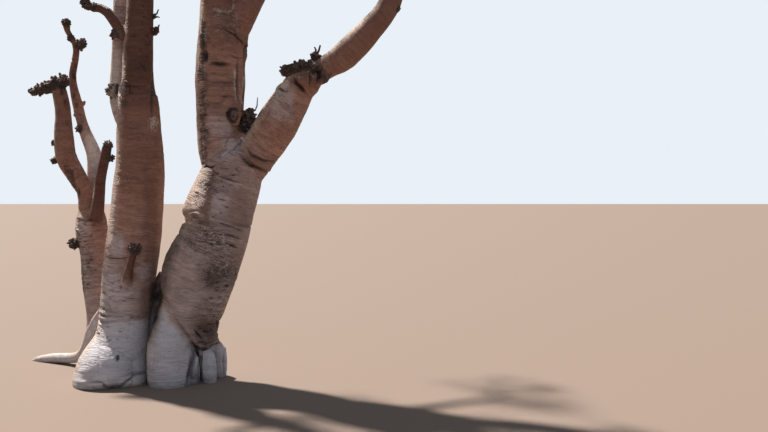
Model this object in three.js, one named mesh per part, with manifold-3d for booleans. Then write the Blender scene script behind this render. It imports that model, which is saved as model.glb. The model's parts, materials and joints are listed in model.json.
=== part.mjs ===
// A bare, many-stemmed bottle tree: three swollen trunks from one root, their boughs and leafless twigs.
// Millimetres, +Z up, the ground at z = 0, -Y towards the viewer. The origin is under the right trunk.
import * as THREE from "three";
import { mergeVertices } from "three/addons/utils/BufferGeometryUtils.js";
import Module from "manifold-3d";

const wasm = await Module();
wasm.setup();

// Driving dimensions.
const SEAT_GAP = 0.3; // between two pieces that touch
const CUT_GROWTH = 0.6; // how much fatter a limb is when it cuts its neighbour
const FOOT_LEVEL = 260; // up to here the rings of a trunk lie level
const FOOT_BLEND = 450; // and over this height they turn square to its lean
const TOE_FOLD = 26; // how softly a toe runs into its trunk
const TAPER = 0.6; // tip radius of a twig over its root radius
const TWIG_ROOT_SHARE = 0.72; // a side twig's root radius over its parent's radius there
const TWIG_LENGTH_SHARE = 0.64;
const TWIG_SPREAD = [32, 62]; // degrees from its parent
const TWIG_CROOK = 15; // degrees of wander at each bend of a twig
const TWIG_LIFT = 0.2; // how strongly a twig turns up
const TWIG_MARGIN = 14; // clear space round a twig
const FIRST_CHILD = 0.34; // where along a twig the side twigs start
const GOLDEN_TURN = 137.5;
const HEART_SHARE = 0.72; // where along its stem a mass has its heart
const REACH_SHARE = 0.98; // how far its twigs reach from the heart, over the stem's length
// The orders of a mass: its stem, the boughlets on it and the twigs on those.
const ORDERS = [
  { bends: 3, children: 5, sides: 5 },
  { bends: 2, children: 3, sides: 3 },
  { bends: 1, children: 0, sides: 3 },
];

const UP = new THREE.Vector3(0, 0, 1);
const BACK = new THREE.Vector3(0, 1, 0);
const RIGHT = new THREE.Vector3(1, 0, 0);

// A station is [x, y, z, radius]: a limb runs through its stations in one smooth taper.
// A toe is a round lobe of the root flare: its bearing in degrees from +X, how far out its centre
// stands, its radius and its height. A knuckled foot's toes rise straight up to that share of their height.
const TRUNKS = {
  trunk_right: {
    sides: 24,
    rings: 20,
    knuckle: 0.5,
    stations: [
      [-35, 0, -150, 250],
      [-33, 0, 300, 258],
      [-18, 0, 540, 272],
      [29, 0, 710, 289],
      [92, 0, 970, 324],
      [197, 0, 1225, 293],
      [244, 0, 1440, 304],
      [322, 0, 1660, 280],
      [390, 0, 1870, 250],
      [420, 0, 1990, 180],
    ],
    undercut: { from: 268, to: 400, top: 310, depth: 100 },
    toes: [
      { bearing: 218, out: 145, radius: 162, height: 640 },
      { bearing: 272, out: 100, radius: 84, height: 270 },
      { bearing: 346, out: 172, radius: 78, height: 320 },
      { bearing: 28, out: 252, radius: 86, height: 470 },
      { bearing: 76, out: 205, radius: 120, height: 420 },
      { bearing: 150, out: 218, radius: 132, height: 460 },
    ],
  },
  trunk_middle: {
    sides: 24,
    rings: 18,
    knuckle: 0,
    stations: [
      [-604, 0, -150, 225],
      [-594, 0, 250, 226],
      [-575, 0, 470, 205],
      [-540, 0, 840, 223],
      [-500, 0, 1140, 227],
      [-453, 0, 1580, 216],
      [-430, 0, 1880, 206],
      [-438, 0, 2210, 186],
      [-444, -5, 2470, 162],
    ],
    toes: [
      { bearing: 210, out: 190, radius: 200, height: 430 },
      { bearing: 262, out: 160, radius: 150, height: 300 },
      { bearing: 318, out: 190, radius: 100, height: 170 },
      { bearing: 38, out: 185, radius: 122, height: 360 },
      { bearing: 92, out: 185, radius: 125, height: 340 },
      { bearing: 146, out: 215, radius: 125, height: 420 },
    ],
  },
  trunk_left: {
    sides: 12,
    rings: 14,
    knuckle: 0.2,
    stations: [
      [-1082, 700, -150, 104],
      [-1078, 700, 250, 98],
      [-1076, 700, 480, 95],
      [-1098, 700, 760, 107],
      [-1100, 700, 1060, 124],
      [-1118, 700, 1310, 148],
      [-1116, 700, 1490, 106],
      [-1116, 700, 1545, 55],
    ],
    toes: [
      { bearing: 300, out: 92, radius: 82, height: 300 },
      { bearing: 30, out: 88, radius: 78, height: 260 },
      { bearing: 100, out: 92, radius: 74, height: 240 },
      { bearing: 190, out: 84, radius: 80, height: 300 },
    ],
  },
};

const BOUGHS = {
  bough_upright: {
    sides: 16,
    rings: 13,
    stations: [
      [345, 10, 1660, 190],
      [268, 20, 2010, 194],
      [246, 20, 2180, 180],
      [254, 5, 2550, 204],
      [268, -10, 2870, 196],
      [246, -20, 3300, 138],
      [224, -30, 3600, 112],
      [186, -55, 4000, 90],
      [140, -85, 4360, 68],
    ],
  },
  bough_reaching: {
    sides: 16,
    rings: 7,
    stations: [
      [470, 0, 1760, 140],
      [620, -5, 2023, 172],
      [686, -20, 2108, 176],
      [800, -50, 2280, 178],
      [965, -92, 2545, 138],
    ],
  },
  bough_reaching_outer: {
    sides: 11,
    rings: 13,
    stations: [
      [925, -88, 2500, 128],
      [1020, -100, 2590, 140],
      [1104, -112, 2652, 106],
      [1232, -128, 2719, 101],
      [1378, -150, 2817, 118],
      [1686, -205, 3136, 98],
      [1815, -228, 3450, 84],
      [1990, -205, 3930, 61],
      [2110, -180, 4140, 50],
    ],
  },
  bough_upright_right: {
    sides: 12,
    rings: 9,
    stations: [
      [296, 0, 2740, 106],
      [330, 5, 2890, 124],
      [436, 22, 3170, 135],
      [590, 60, 3500, 122],
      [690, 110, 3850, 92],
      [770, 160, 4200, 68],
    ],
  },
  bough_tall: {
    sides: 12,
    rings: 11,
    stations: [
      [-444, -5, 2400, 165],
      [-443, -10, 2560, 140],
      [-444, 0, 2790, 129],
      [-430, 0, 3130, 117],
      [-412, 20, 3650, 97],
      [-396, 45, 4000, 84],
      [-420, 40, 4350, 70],
      [-455, 10, 4620, 56],
    ],
  },
  bough_pale: {
    sides: 9,
    rings: 10,
    stations: [
      [-520, 60, 2180, 90],
      [-590, 85, 2330, 96],
      [-648, 100, 2500, 77],
      [-646, 120, 2850, 68],
      [-642, 145, 3300, 61],
      [-690, 290, 3650, 56],
      [-770, 480, 3920, 49],
      [-850, 640, 4130, 42],
    ],
  },
  bough_hooked: {
    sides: 7,
    rings: 11,
    stations: [
      [-490, -15, 2890, 50],
      [-575, -22, 3015, 50],
      [-636, -30, 3115, 47],
      [-698, -35, 3195, 44],
      [-780, -40, 3232, 40],
      [-852, -48, 3236, 38],
      [-885, -58, 3350, 36],
      [-872, -64, 3490, 31],
    ],
  },
  bough_back: {
    sides: 10,
    rings: 10,
    stations: [
      [290, 90, 2060, 90],
      [326, 150, 2230, 102],
      [350, 285, 2650, 82],
      [352, 340, 2870, 76],
      [385, 480, 3220, 74],
      [440, 700, 3560, 65],
      [520, 1100, 4080, 46],
    ],
  },
  bough_left: {
    sides: 10,
    rings: 11,
    stations: [
      [-1118, 700, 1380, 96],
      [-1136, 690, 1510, 98],
      [-1164, 670, 1655, 80],
      [-1238, 650, 1800, 88],
      [-1322, 622, 1978, 92],
      [-1336, 605, 2145, 88],
      [-1342, 598, 2420, 73],
      [-1372, 590, 2610, 66],
    ],
  },
  bough_thin: {
    sides: 8,
    rings: 14,
    stations: [
      [-1105, 745, 1380, 78],
      [-1118, 800, 1768, 74],
      [-1133, 820, 2010, 70],
      [-1234, 840, 2258, 54],
      [-1314, 855, 2550, 48],
      [-1356, 868, 2780, 34],
      [-1322, 880, 3050, 33],
      [-1402, 880, 3216, 29],
      [-1421, 880, 3300, 34],
    ],
  },
  stub_left: {
    sides: 8,
    rings: 7,
    stations: [
      [-1060, 640, 1350, 58],
      [-1026, 590, 1455, 64],
      [-1002, 580, 1620, 58],
      [-976, 570, 1810, 52],
      [-912, 555, 2070, 46],
    ],
  },
  stub_front: {
    sides: 8,
    rings: 5,
    stations: [
      [-515, -120, 810, 60],
      [-492, -200, 872, 50],
      [-464, -246, 960, 37],
      [-395, -300, 1150, 32],
    ],
  },
  root_left: {
    sides: 9,
    rings: 12,
    stations: [
      [-740, 60, 650, 46],
      [-945, 250, 415, 46],
      [-1035, 380, 270, 50],
      [-1118, 500, 150, 54],
      [-1235, 600, 80, 52],
      [-1390, 690, 55, 47],
      [-1550, 765, 38, 44],
      [-1690, 830, 6, 38],
      [-1770, 868, -28, 30],
    ],
  },
  knot_crotch: {
    sides: 7,
    rings: 4,
    stations: [
      [430, 20, 2150, 60],
      [480, 0, 2240, 62],
      [505, -10, 2310, 50],
      [540, -20, 2370, 26],
    ],
  },
  bough_tall_left: {
    sides: 8,
    rings: 6,
    stations: [
      [-414, 10, 3560, 60],
      [-480, -50, 3740, 64],
      [-600, -140, 3960, 57],
      [-740, -240, 4180, 50],
      [-850, -330, 4400, 42],
    ],
  },
  bough_tall_right: {
    sides: 8,
    rings: 6,
    stations: [
      [-404, 45, 3880, 56],
      [-350, 110, 4020, 60],
      [-250, 215, 4210, 53],
      [-140, 330, 4400, 46],
      [-60, 430, 4590, 40],
    ],
  },
  bough_reaching_inner: {
    sides: 8,
    rings: 6,
    stations: [
      [1800, -226, 3400, 56],
      [1795, -290, 3560, 62],
      [1750, -400, 3780, 54],
      [1690, -500, 4000, 47],
      [1640, -570, 4200, 40],
    ],
  },
  bough_upright_front: {
    sides: 8,
    rings: 6,
    stations: [
      [232, -40, 3420, 60],
      [262, -150, 3590, 66],
      [340, -300, 3800, 58],
      [430, -450, 4000, 50],
      [500, -570, 4190, 42],
    ],
  },
};

// The limbs that each limb is cut clear of, those it springs from first.
const SPRINGS_FROM = {
  trunk_middle: ["trunk_right"],
  trunk_left: ["trunk_middle"],
  bough_pale: ["trunk_middle", "bough_tall"],
  bough_hooked: ["bough_tall", "bough_pale"],
  bough_back: ["trunk_right", "bough_upright", "bough_upright_right", "knot_crotch"],
  bough_upright_right: ["bough_upright"],
  bough_upright_front: ["bough_upright", "bough_upright_right"],
  bough_reaching_inner: ["bough_reaching_outer"],
  bough_tall_left: ["bough_tall"],
  bough_tall_right: ["bough_tall"],
  bough_left: ["trunk_left"],
  bough_thin: ["trunk_left", "bough_left"],
  stub_left: ["trunk_left", "bough_left", "bough_thin"],
  stub_front: ["trunk_middle"],
  root_left: ["trunk_middle", "trunk_left"],
  knot_crotch: ["trunk_right", "bough_upright", "bough_reaching"],
};

// Flat seats where one limb ends and the next goes on: a point of the seat and the way on from it.
const SEATS = {
  upright: { point: [470, 0, 2150], way: [-0.5, 0, 0.866] },
  reaching: { point: [470, 0, 2150], way: [0.79, 0, 0.613] },
  reaching_outer: { point: [945, -90, 2520], way: [0.72, -0.12, 0.68] },
  tall: { point: [-444, -5, 2440], way: [0, 0, 1] },
};

// Burrs: the knotted lumps of stubby regrowth. Each is [x, y, z, size], fused to the limb that carries it.
const BURRS = {
  bough_left: [
    [-1330, 588, 2690, 64],
    [-1400, 588, 2668, 72],
    [-1480, 590, 2636, 66],
    [-1555, 592, 2612, 56],
    [-1618, 594, 2592, 40],
    [-1425, 604, 2112, 32],
    [-1432, 606, 1945, 34],
  ],
  bough_thin: [
    [-1272, 878, 3092, 56],
    [-1416, 880, 3304, 44],
    [-1268, 815, 2262, 42],
  ],
  trunk_left: [[-1262, 640, 1156, 56]],
  bough_pale: [[-676, 30, 2520, 60]],
  bough_tall: [[-300, 0, 3082, 30]],
  stub_front: [[-388, -302, 1168, 52]],
  stub_left: [[-902, 553, 2090, 44]],
  bough_reaching_outer: [
    [900, -125, 2668, 62],
    [985, -130, 2694, 66],
    [1065, -150, 2684, 62],
    [1062, -118, 2790, 34],
    [1796, -226, 3176, 34],
  ],
  bough_upright: [[392, -100, 2312, 66]],
  bough_hooked: [
    [-890, -62, 3330, 54],
    [-628, -40, 2998, 44],
  ],
  knot_crotch: [
    [490, -10, 2225, 66],
    [520, -20, 2300, 60],
  ],
};
const BURR_LUMPS = 3; // spiky ones round a middle one
const SMALL_BURR = 50; // and a single one below this size
const LUMP_SHARE = 0.85; // size of one lump over its burr's
const LUMP_STRAY = 0.4; // how far the outer lumps stand from the burr's centre
const SPIKE = 1.15;

// Crown masses: the bough that carries each, the length of its stem, and its seed.
const CROWN = {
  twigs_tall_top: { bough: "bough_tall", length: 850, seed: 11 },
  twigs_tall_left: { bough: "bough_tall_left", length: 780, seed: 23 },
  twigs_tall_right: { bough: "bough_tall_right", length: 750, seed: 37 },
  twigs_pale: { bough: "bough_pale", length: 780, seed: 41 },
  twigs_hooked: { bough: "bough_hooked", length: 500, seed: 59 },
  twigs_upright_top: { bough: "bough_upright", length: 850, seed: 67 },
  twigs_upright_right: { bough: "bough_upright_right", length: 820, seed: 73 },
  twigs_upright_front: { bough: "bough_upright_front", length: 780, seed: 89 },
  twigs_back: { bough: "bough_back", length: 820, seed: 97 },
  twigs_reaching_outer: { bough: "bough_reaching_outer", length: 800, seed: 103 },
  twigs_reaching_inner: { bough: "bough_reaching_inner", length: 750, seed: 113 },
};

const TRUNK_BARK = { color: 0x9c8578, roughness: 0.8, metalness: 0 };
const BOUGH_BARK = { color: 0x8a6857, roughness: 0.85, metalness: 0 };
const TWIG_BARK = { color: 0x6e5649, roughness: 0.9, metalness: 0 };

const LIMBS = { ...TRUNKS, ...BOUGHS };

function vectorOf([x, y, z]) {
  return new THREE.Vector3(x, y, z);
}

function smooth(low, high, value) {
  const share = Math.min(1, Math.max(0, (value - low) / (high - low)));
  return share * share * (3 - 2 * share);
}

// The larger of two radii, rounded where they cross.
function softLarger(a, b, fold) {
  return (a + b + Math.hypot(a - b, fold)) / 2;
}

// A repeatable run of numbers from 0 to 1.
function dice(seed) {
  let state = (Math.imul(seed, 747796405) + 277803737) >>> 0;
  return () => {
    state = (Math.imul(state, 1664525) + 1013904223) >>> 0;
    return ((state ^ (state >>> 15)) >>> 0) / 4294967296;
  };
}

function spineOf(stations) {
  const line = new THREE.CatmullRomCurve3(stations.map(vectorOf), false, "catmullrom", 0.5);
  const girths = stations.map(([, , , radius]) => new THREE.Vector3(radius, 0, 0));
  const girth = new THREE.CatmullRomCurve3(girths, false, "catmullrom", 0.5);
  const leanings = stations.map((_, i) => Math.abs(line.getTangent(i / (stations.length - 1)).y));
  return { line, girth, reference: Math.max(...leanings) > 0.95 ? RIGHT : BACK };
}

// How far a toe reaches from the trunk's axis on a bearing, or 0 where the ray misses it.
function toeReach(toe, knuckle, bearing, height, girth) {
  const rise = height / toe.height;
  if (rise >= 1) return 0;
  const climb = smooth(knuckle, 1, rise);
  const out = THREE.MathUtils.lerp(toe.out, girth * 0.3, climb);
  const radius = toe.radius * (1 - 0.25 * climb);
  const turn = bearing - THREE.MathUtils.degToRad(toe.bearing);
  const side = out * Math.sin(turn);
  if (Math.abs(side) >= radius || Math.cos(turn) < 0) return 0;
  return out * Math.cos(turn) + Math.sqrt(radius * radius - side * side);
}

// The radius of a limb on one bearing, at one height above the ground.
function radiusOf(limb, girth, bearing, height) {
  let radius = girth;
  if (limb.undercut) {
    const { from, to, top, depth } = limb.undercut;
    const middle = THREE.MathUtils.degToRad((from + to) / 2);
    const half = THREE.MathUtils.degToRad((to - from) / 2);
    const off = Math.abs(Math.atan2(Math.sin(bearing - middle), Math.cos(bearing - middle)));
    radius -= depth * (1 - smooth(0.6, 1, off / half)) * (1 - smooth(top * 0.55, top, height));
  }
  for (const toe of limb.toes ?? []) {
    radius = softLarger(radius, toeReach(toe, limb.knuckle, bearing, height, girth), TOE_FOLD);
  }
  return radius;
}

// A cylinder wrapped along the limb's line, each of its rings as wide as the limb is there.
function limbGeometry(limb, grow = 0) {
  const { line, girth, reference } = spineOf(limb.stations);
  const tube = new THREE.CylinderGeometry(1, 1, 1, limb.sides, limb.rings);
  const place = tube.getAttribute("position");
  for (let i = 0; i < place.count; i++) {
    const share = THREE.MathUtils.clamp(place.getY(i) + 0.5, 0, 1);
    const centre = line.getPoint(share);
    const along = line.getTangent(share);
    if (limb.toes) along.lerp(UP, 1 - smooth(FOOT_LEVEL, FOOT_LEVEL + FOOT_BLEND, centre.z)).normalize();
    const across = new THREE.Vector3().crossVectors(reference, along).normalize();
    const beside = new THREE.Vector3().crossVectors(along, across);
    const bearing = Math.atan2(-place.getZ(i), place.getX(i));
    const onAxis = Math.hypot(place.getX(i), place.getZ(i)) < 0.5;
    const radius = onAxis ? 0 : radiusOf(limb, girth.getPoint(share).x, bearing, centre.z) + grow;
    centre.addScaledVector(across, radius * Math.cos(bearing));
    centre.addScaledVector(beside, radius * Math.sin(bearing));
    centre.addScaledVector(along, grow * (2 * share - 1));
    place.setXYZ(i, centre.x, centre.y, centre.z);
  }
  return tube;
}

function solidOf(geometry) {
  const bare = geometry.clone();
  bare.deleteAttribute("normal");
  bare.deleteAttribute("uv");
  const merged = mergeVertices(bare, 1e-3);
  return new wasm.Manifold(
    new wasm.Mesh({
      numProp: 3,
      vertProperties: new Float32Array(merged.attributes.position.array),
      triVerts: new Uint32Array(merged.index.array),
    }),
  );
}

function meshOf(name, solid, finish) {
  const made = solid.getMesh();
  const geometry = new THREE.BufferGeometry();
  geometry.setAttribute("position", new THREE.BufferAttribute(made.vertProperties, 3));
  geometry.setIndex(new THREE.BufferAttribute(made.triVerts, 1));
  geometry.computeVertexNormals();
  const mesh = new THREE.Mesh(geometry, new THREE.MeshStandardMaterial(finish));
  mesh.name = name;
  return mesh;
}

// Keeps what lies past a seat (side 1) or short of it (side -1), half the seat's gap away.
function trimAtSeat(solid, { point, way }, side) {
  const normal = vectorOf(way).normalize().multiplyScalar(side);
  return solid.trimByPlane(normal.toArray(), normal.dot(vectorOf(point)) + SEAT_GAP / 2);
}

function largestBody(solid) {
  return solid.decompose().sort((a, b) => b.volume() - a.volume())[0];
}

// The knotted lumps of stubby shoots on one limb.
function burrSolids(burrs, grow = 0) {
  return burrs.flatMap(([x, y, z, size], index) => {
    const roll = dice(Math.round(Math.abs(x) * 3 + z) + index);
    return Array.from({ length: (size < SMALL_BURR ? 1 : BURR_LUMPS) + 1 }, (_, lump) => {
      const radius = size * LUMP_SHARE + grow;
      const shape = lump ? new THREE.TetrahedronGeometry(radius * SPIKE) : new THREE.OctahedronGeometry(radius);
      const stray = turned(UP, 180 * roll(), 2 * Math.PI * roll());
      stray.multiplyScalar(lump ? size * LUMP_STRAY : 0);
      shape.rotateX(roll() * Math.PI);
      shape.rotateZ(roll() * Math.PI);
      shape.translate(x + stray.x, y + stray.y, z + stray.z);
      return solidOf(shape);
    });
  });
}

function knottedLimb(name, limb, grow) {
  return wasm.Manifold.union([solidOf(limbGeometry(limb, grow)), ...burrSolids(BURRS[name] ?? [], grow)]);
}

// Builds the trunks and boughs, each cut clear of what it springs from.
function limbSolids() {
  const rough = {};
  const fat = {};
  for (const [name, limb] of Object.entries(LIMBS)) {
    rough[name] = knottedLimb(name, limb, 0).trimByPlane([0, 0, 1], 0);
    fat[name] = knottedLimb(name, limb, CUT_GROWTH);
  }
  const fork = rough.trunk_right.add(rough.bough_upright).add(rough.bough_reaching);
  const { upright, reaching, reaching_outer, tall } = SEATS;
  const crotch = { point: upright.point, way: [1, 0, 0] };
  rough.trunk_right = trimAtSeat(trimAtSeat(fork, upright, -1), reaching, -1);
  rough.bough_upright = trimAtSeat(trimAtSeat(fork, upright, 1), crotch, -1);
  rough.bough_reaching = trimAtSeat(trimAtSeat(fork, reaching, 1), crotch, 1);
  rough.bough_reaching = trimAtSeat(rough.bough_reaching, reaching_outer, -1);
  rough.bough_reaching_outer = trimAtSeat(rough.bough_reaching_outer, reaching_outer, 1);
  rough.trunk_middle = trimAtSeat(rough.trunk_middle, tall, -1);
  rough.bough_tall = trimAtSeat(rough.bough_tall, tall, 1);
  const solids = {};
  for (const name of Object.keys(LIMBS)) {
    let solid = rough[name];
    for (const parent of SPRINGS_FROM[name] ?? []) solid = solid.subtract(fat[parent]);
    solids[name] = largestBody(solid);
  }
  return solids;
}

// The capsules that a twig keeps clear of: two ends, the larger radius and the piece they belong to.
function limbCapsules() {
  const STEPS_PER_SPAN = 2;
  return Object.entries(LIMBS).flatMap(([owner, limb]) => {
    const { line, girth } = spineOf(limb.stations);
    const steps = STEPS_PER_SPAN * (limb.stations.length - 1);
    return Array.from({ length: steps }, (_, i) => ({
      owner,
      from: line.getPoint(i / steps),
      to: line.getPoint((i + 1) / steps),
      radius: Math.max(girth.getPoint(i / steps).x, girth.getPoint((i + 1) / steps).x),
    }));
  });
}

// The least distance between two straight stretches.
function distanceBetween(a, b, c, d) {
  const u = b.clone().sub(a);
  const v = d.clone().sub(c);
  const w = a.clone().sub(c);
  const uu = u.dot(u);
  const uv = u.dot(v);
  const vv = v.dot(v);
  const det = uu * vv - uv * uv;
  const clamp = (value) => Math.min(1, Math.max(0, value));
  let s = det > 1e-9 ? clamp((uv * v.dot(w) - vv * u.dot(w)) / det) : 0;
  const t = clamp((uv * s + v.dot(w)) / vv);
  s = clamp((uv * t - u.dot(w)) / uu);
  return a.clone().addScaledVector(u, s).distanceTo(c.clone().addScaledVector(v, t));
}

function turned(direction, degrees, roll) {
  const side = new THREE.Vector3().crossVectors(direction, Math.abs(direction.z) < 0.9 ? UP : RIGHT);
  side.normalize().applyAxisAngle(direction, roll);
  return direction.clone().applyAxisAngle(side, THREE.MathUtils.degToRad(degrees)).normalize();
}

// A crooked, tapering twig as stations. Its dice come from its own seed, so finer orders never change it.
function twigStations(start, direction, length, radius, bends, roll) {
  const stations = [[...start.toArray(), radius]];
  const way = direction.clone();
  const at = start.clone();
  for (let bend = 1; bend <= bends; bend++) {
    if (bend > 1) way.copy(turned(way, TWIG_CROOK * (0.4 + 0.8 * roll()), 2 * Math.PI * roll()));
    way.addScaledVector(UP, bend > 1 ? TWIG_LIFT : 0).normalize();
    at.addScaledVector(way, length / bends);
    stations.push([...at.toArray(), radius * THREE.MathUtils.lerp(1, TAPER, bend / bends)]);
  }
  return stations;
}

function pointAlong(stations, share) {
  const reach = share * (stations.length - 1);
  const index = Math.min(Math.floor(reach), stations.length - 2);
  const [a, b] = [vectorOf(stations[index]), vectorOf(stations[index + 1])];
  const part = reach - index;
  return {
    at: a.clone().lerp(b, part),
    way: b.clone().sub(a).normalize(),
    radius: THREE.MathUtils.lerp(stations[index][3], stations[index + 1][3], part),
  };
}

// Whether a twig stays within its mass's reach, nearer its heart than any other's, and clear of every limb.
function hasRoom(stations, mass, spaces, taken) {
  const depthIn = (space, at) => space.reach - at.distanceTo(space.heart);
  const others = Object.keys(spaces).filter((name) => name !== mass).map((name) => spaces[name]);
  const inSpace = stations.every((station) => {
    const at = vectorOf(station);
    const own = depthIn(spaces[mass], at);
    return own > 0 && others.every((other) => own > depthIn(other, at) + 2 * TWIG_MARGIN);
  });
  if (!inSpace) return false;
  for (let i = 1; i < stations.length; i++) {
    const [from, to] = [vectorOf(stations[i - 1]), vectorOf(stations[i])];
    const radius = stations[i - 1][3];
    const room = (limb) => distanceBetween(from, to, limb.from, limb.to) - radius - limb.radius;
    if (taken.some((limb) => room(limb) < TWIG_MARGIN)) return false;
  }
  return true;
}

// Every twig of one mass, as {order, stations}, the stem first.
function growMass(mass, spaces, seed, taken) {
  const grown = [];
  const grow = (order, start, direction, length, radius, twigSeed) => {
    const { bends, children } = ORDERS[order];
    const stations = twigStations(start, direction, length, radius, bends, dice(twigSeed));
    if (order > 0 && !hasRoom(stations, mass, spaces, taken)) return;
    grown.push({ order, stations });
    for (let child = 0; child < children; child++) {
      const childSeed = twigSeed * 7 + child * 131 + 17;
      const roll = dice(childSeed);
      const share = FIRST_CHILD + (0.98 - FIRST_CHILD) * ((child + roll()) / children);
      const root = pointAlong(stations, share);
      const spread = THREE.MathUtils.lerp(TWIG_SPREAD[0], TWIG_SPREAD[1], roll());
      const turn = THREE.MathUtils.degToRad(GOLDEN_TURN * child + 70 * roll());
      const sideLength = length * TWIG_LENGTH_SHARE * (1.15 - 0.35 * share) * (0.8 + 0.4 * roll());
      const way = turned(root.way, spread, turn);
      grow(order + 1, root.at, way, sideLength, root.radius * TWIG_ROOT_SHARE, childSeed);
    }
  };
  const { start, way, length, radius } = spaces[mass];
  grow(0, start, way, length, radius, seed);
  return grown;
}

// The stem of a mass and the ball of air that its twigs may fill.
function spaceOf({ bough, length }) {
  const { line, girth } = spineOf(LIMBS[bough].stations);
  const way = line.getTangent(1).normalize();
  const start = line.getPoint(1).addScaledVector(way, SEAT_GAP);
  const heart = start.clone().addScaledVector(way, length * HEART_SHARE);
  return { start, way, length, radius: girth.getPoint(1).x * 0.94, heart, reach: length * REACH_SHARE };
}

function crownSolids() {
  const spaces = Object.fromEntries(Object.entries(CROWN).map(([mass, row]) => [mass, spaceOf(row)]));
  const limbs = limbCapsules();
  const solids = {};
  for (const [mass, { bough, seed }] of Object.entries(CROWN)) {
    const tip = vectorOf(LIMBS[bough].stations.at(-1));
    const taken = limbs.filter((c) => c.owner !== bough || c.to.distanceTo(tip) > 1);
    const rods = growMass(mass, spaces, seed, taken).map(({ order, stations }) => {
      const { bends, sides } = ORDERS[order];
      return solidOf(limbGeometry({ stations, sides, rings: bends }));
    });
    solids[mass] = largestBody(wasm.Manifold.union(rods));
  }
  return solids;
}

const tree = new THREE.Group();
for (const [name, solid] of Object.entries(limbSolids())) {
  tree.add(meshOf(name, solid, name in TRUNKS || name === "root_left" ? TRUNK_BARK : BOUGH_BARK));
}
for (const [name, solid] of Object.entries(crownSolids())) tree.add(meshOf(name, solid, TWIG_BARK));

export default tree;
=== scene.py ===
"""A bare, many-stemmed bottle tree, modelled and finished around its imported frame."""

import json
import logging
import math
from dataclasses import dataclass, field
from enum import Enum
from typing import ClassVar, Iterator

import bpy
import numpy as np
from mathutils import Euler, Matrix, Vector

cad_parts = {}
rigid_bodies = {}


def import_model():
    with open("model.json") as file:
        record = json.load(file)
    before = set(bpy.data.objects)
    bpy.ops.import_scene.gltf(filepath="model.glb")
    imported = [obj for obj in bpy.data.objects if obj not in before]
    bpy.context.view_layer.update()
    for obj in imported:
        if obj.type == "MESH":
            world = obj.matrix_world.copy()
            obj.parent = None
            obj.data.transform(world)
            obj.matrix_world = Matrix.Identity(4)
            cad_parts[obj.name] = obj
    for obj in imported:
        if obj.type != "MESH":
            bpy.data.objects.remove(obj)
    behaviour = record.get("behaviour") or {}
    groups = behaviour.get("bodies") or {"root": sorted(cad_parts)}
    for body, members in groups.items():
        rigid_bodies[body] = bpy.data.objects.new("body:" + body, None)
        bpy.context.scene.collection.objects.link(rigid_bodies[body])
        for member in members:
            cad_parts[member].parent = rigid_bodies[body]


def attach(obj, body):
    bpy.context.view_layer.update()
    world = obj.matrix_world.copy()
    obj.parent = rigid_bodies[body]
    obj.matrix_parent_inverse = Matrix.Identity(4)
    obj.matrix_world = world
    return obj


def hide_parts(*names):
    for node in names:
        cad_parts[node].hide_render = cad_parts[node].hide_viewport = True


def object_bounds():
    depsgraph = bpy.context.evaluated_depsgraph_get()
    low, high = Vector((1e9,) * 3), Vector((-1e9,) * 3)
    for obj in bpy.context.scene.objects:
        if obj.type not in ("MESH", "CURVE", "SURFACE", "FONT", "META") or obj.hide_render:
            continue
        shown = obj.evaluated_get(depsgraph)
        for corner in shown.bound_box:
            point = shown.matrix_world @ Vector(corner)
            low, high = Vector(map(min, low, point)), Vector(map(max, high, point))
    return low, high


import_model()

CAD_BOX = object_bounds()
LOG = logging.getLogger("bottle_tree")
Array = np.ndarray
Station = tuple[float, float, float, float]
Spot = tuple[float, float]
Colour = tuple[float, float, float, float]
Piece = bpy.types.Object
Node = bpy.types.Node
NodeTree = bpy.types.NodeTree
Socket = bpy.types.NodeSocket

MM = 0.001
UP = np.array([0.0, 0.0, 1.0])
BACK = np.array([0.0, 1.0, 0.0])
RIGHT = np.array([1.0, 0.0, 0.0])
LIT_SIDE = np.array([-0.9, 0.05, 0.43])  # the side facing the key light, painted paler as painted light

# Sizes that the limbs share, in millimetres.
FOOT_LEVEL = 260.0  # up to here the rings of a trunk lie level
FOOT_BLEND = 450.0  # and over this height they turn square to its lean
RING_STEP = 75.0  # between two rings of a limb before it is remeshed
FOOT_STEP = 32.0  # and the same in a root flare
FLARE_TOP = 700.0  # up to here a trunk is treated as its root flare
NARROW_TOP = 480.0  # and up to here its foot is narrowed
SHARED_BARK = 0.012  # metres over which the wrinkles of two limbs run into each other
SCAR_STEP = 0.55  # metres between two scars on the far side of a limb

# Pixels of the picture that the camera is set by.
FOCAL_LENGTH = 782.0
HORIZON_ABOVE_MIDDLE = 16.0

# The growth rule of the twigs, in millimetres and degrees.
SEAT_GAP = 0.3
TAPER = 0.6
TWIG_ROOT_SHARE = 0.72
TWIG_LENGTH_SHARE = 0.64
TWIG_SPREAD = (32.0, 62.0)
TWIG_CROOK = 15.0
TWIG_LIFT = 0.2
TWIG_MARGIN = 14.0
FIRST_CHILD = 0.34
GOLDEN_TURN = 137.5
HEART_SHARE = 0.72
REACH_SHARE = 0.98


class Mark(Enum):
    """The kinds of bark that a patch can have, and painted shade, each kept as an attribute of that name."""

    FOOT = "foot"
    WOUND = "wound"
    CRUST = "crust"
    STAIN = "stain"
    SCUFF = "scuff"
    CHALK = "chalk"
    # painted shade: near-black colour in crevices, clefts and the crotch, where little light reaches
    PAINTED_SHADE = "painted_shade"


FOOT, WOUND, CRUST, STAIN, SCUFF, CHALK, PAINTED_SHADE = Mark


def smooth(low: float, high: float, value: Array | float) -> Array:
    """A soft step: 0 below low, 1 above high, and a smooth rise between them."""
    share = np.clip((np.asarray(value, float) - low) / (high - low), 0, 1)
    return share * share * (3 - 2 * share)


def unit(vectors: Array) -> Array:
    """Vectors brought to a length of one."""
    return vectors / np.maximum(np.linalg.norm(vectors, axis=-1, keepdims=True), 1e-12)


def run_along(points: Array) -> Array:
    """How far each of a row of points lies along the line through them."""
    return np.concatenate([[0], np.cumsum(np.linalg.norm(np.diff(points, axis=0), axis=1))])


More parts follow.
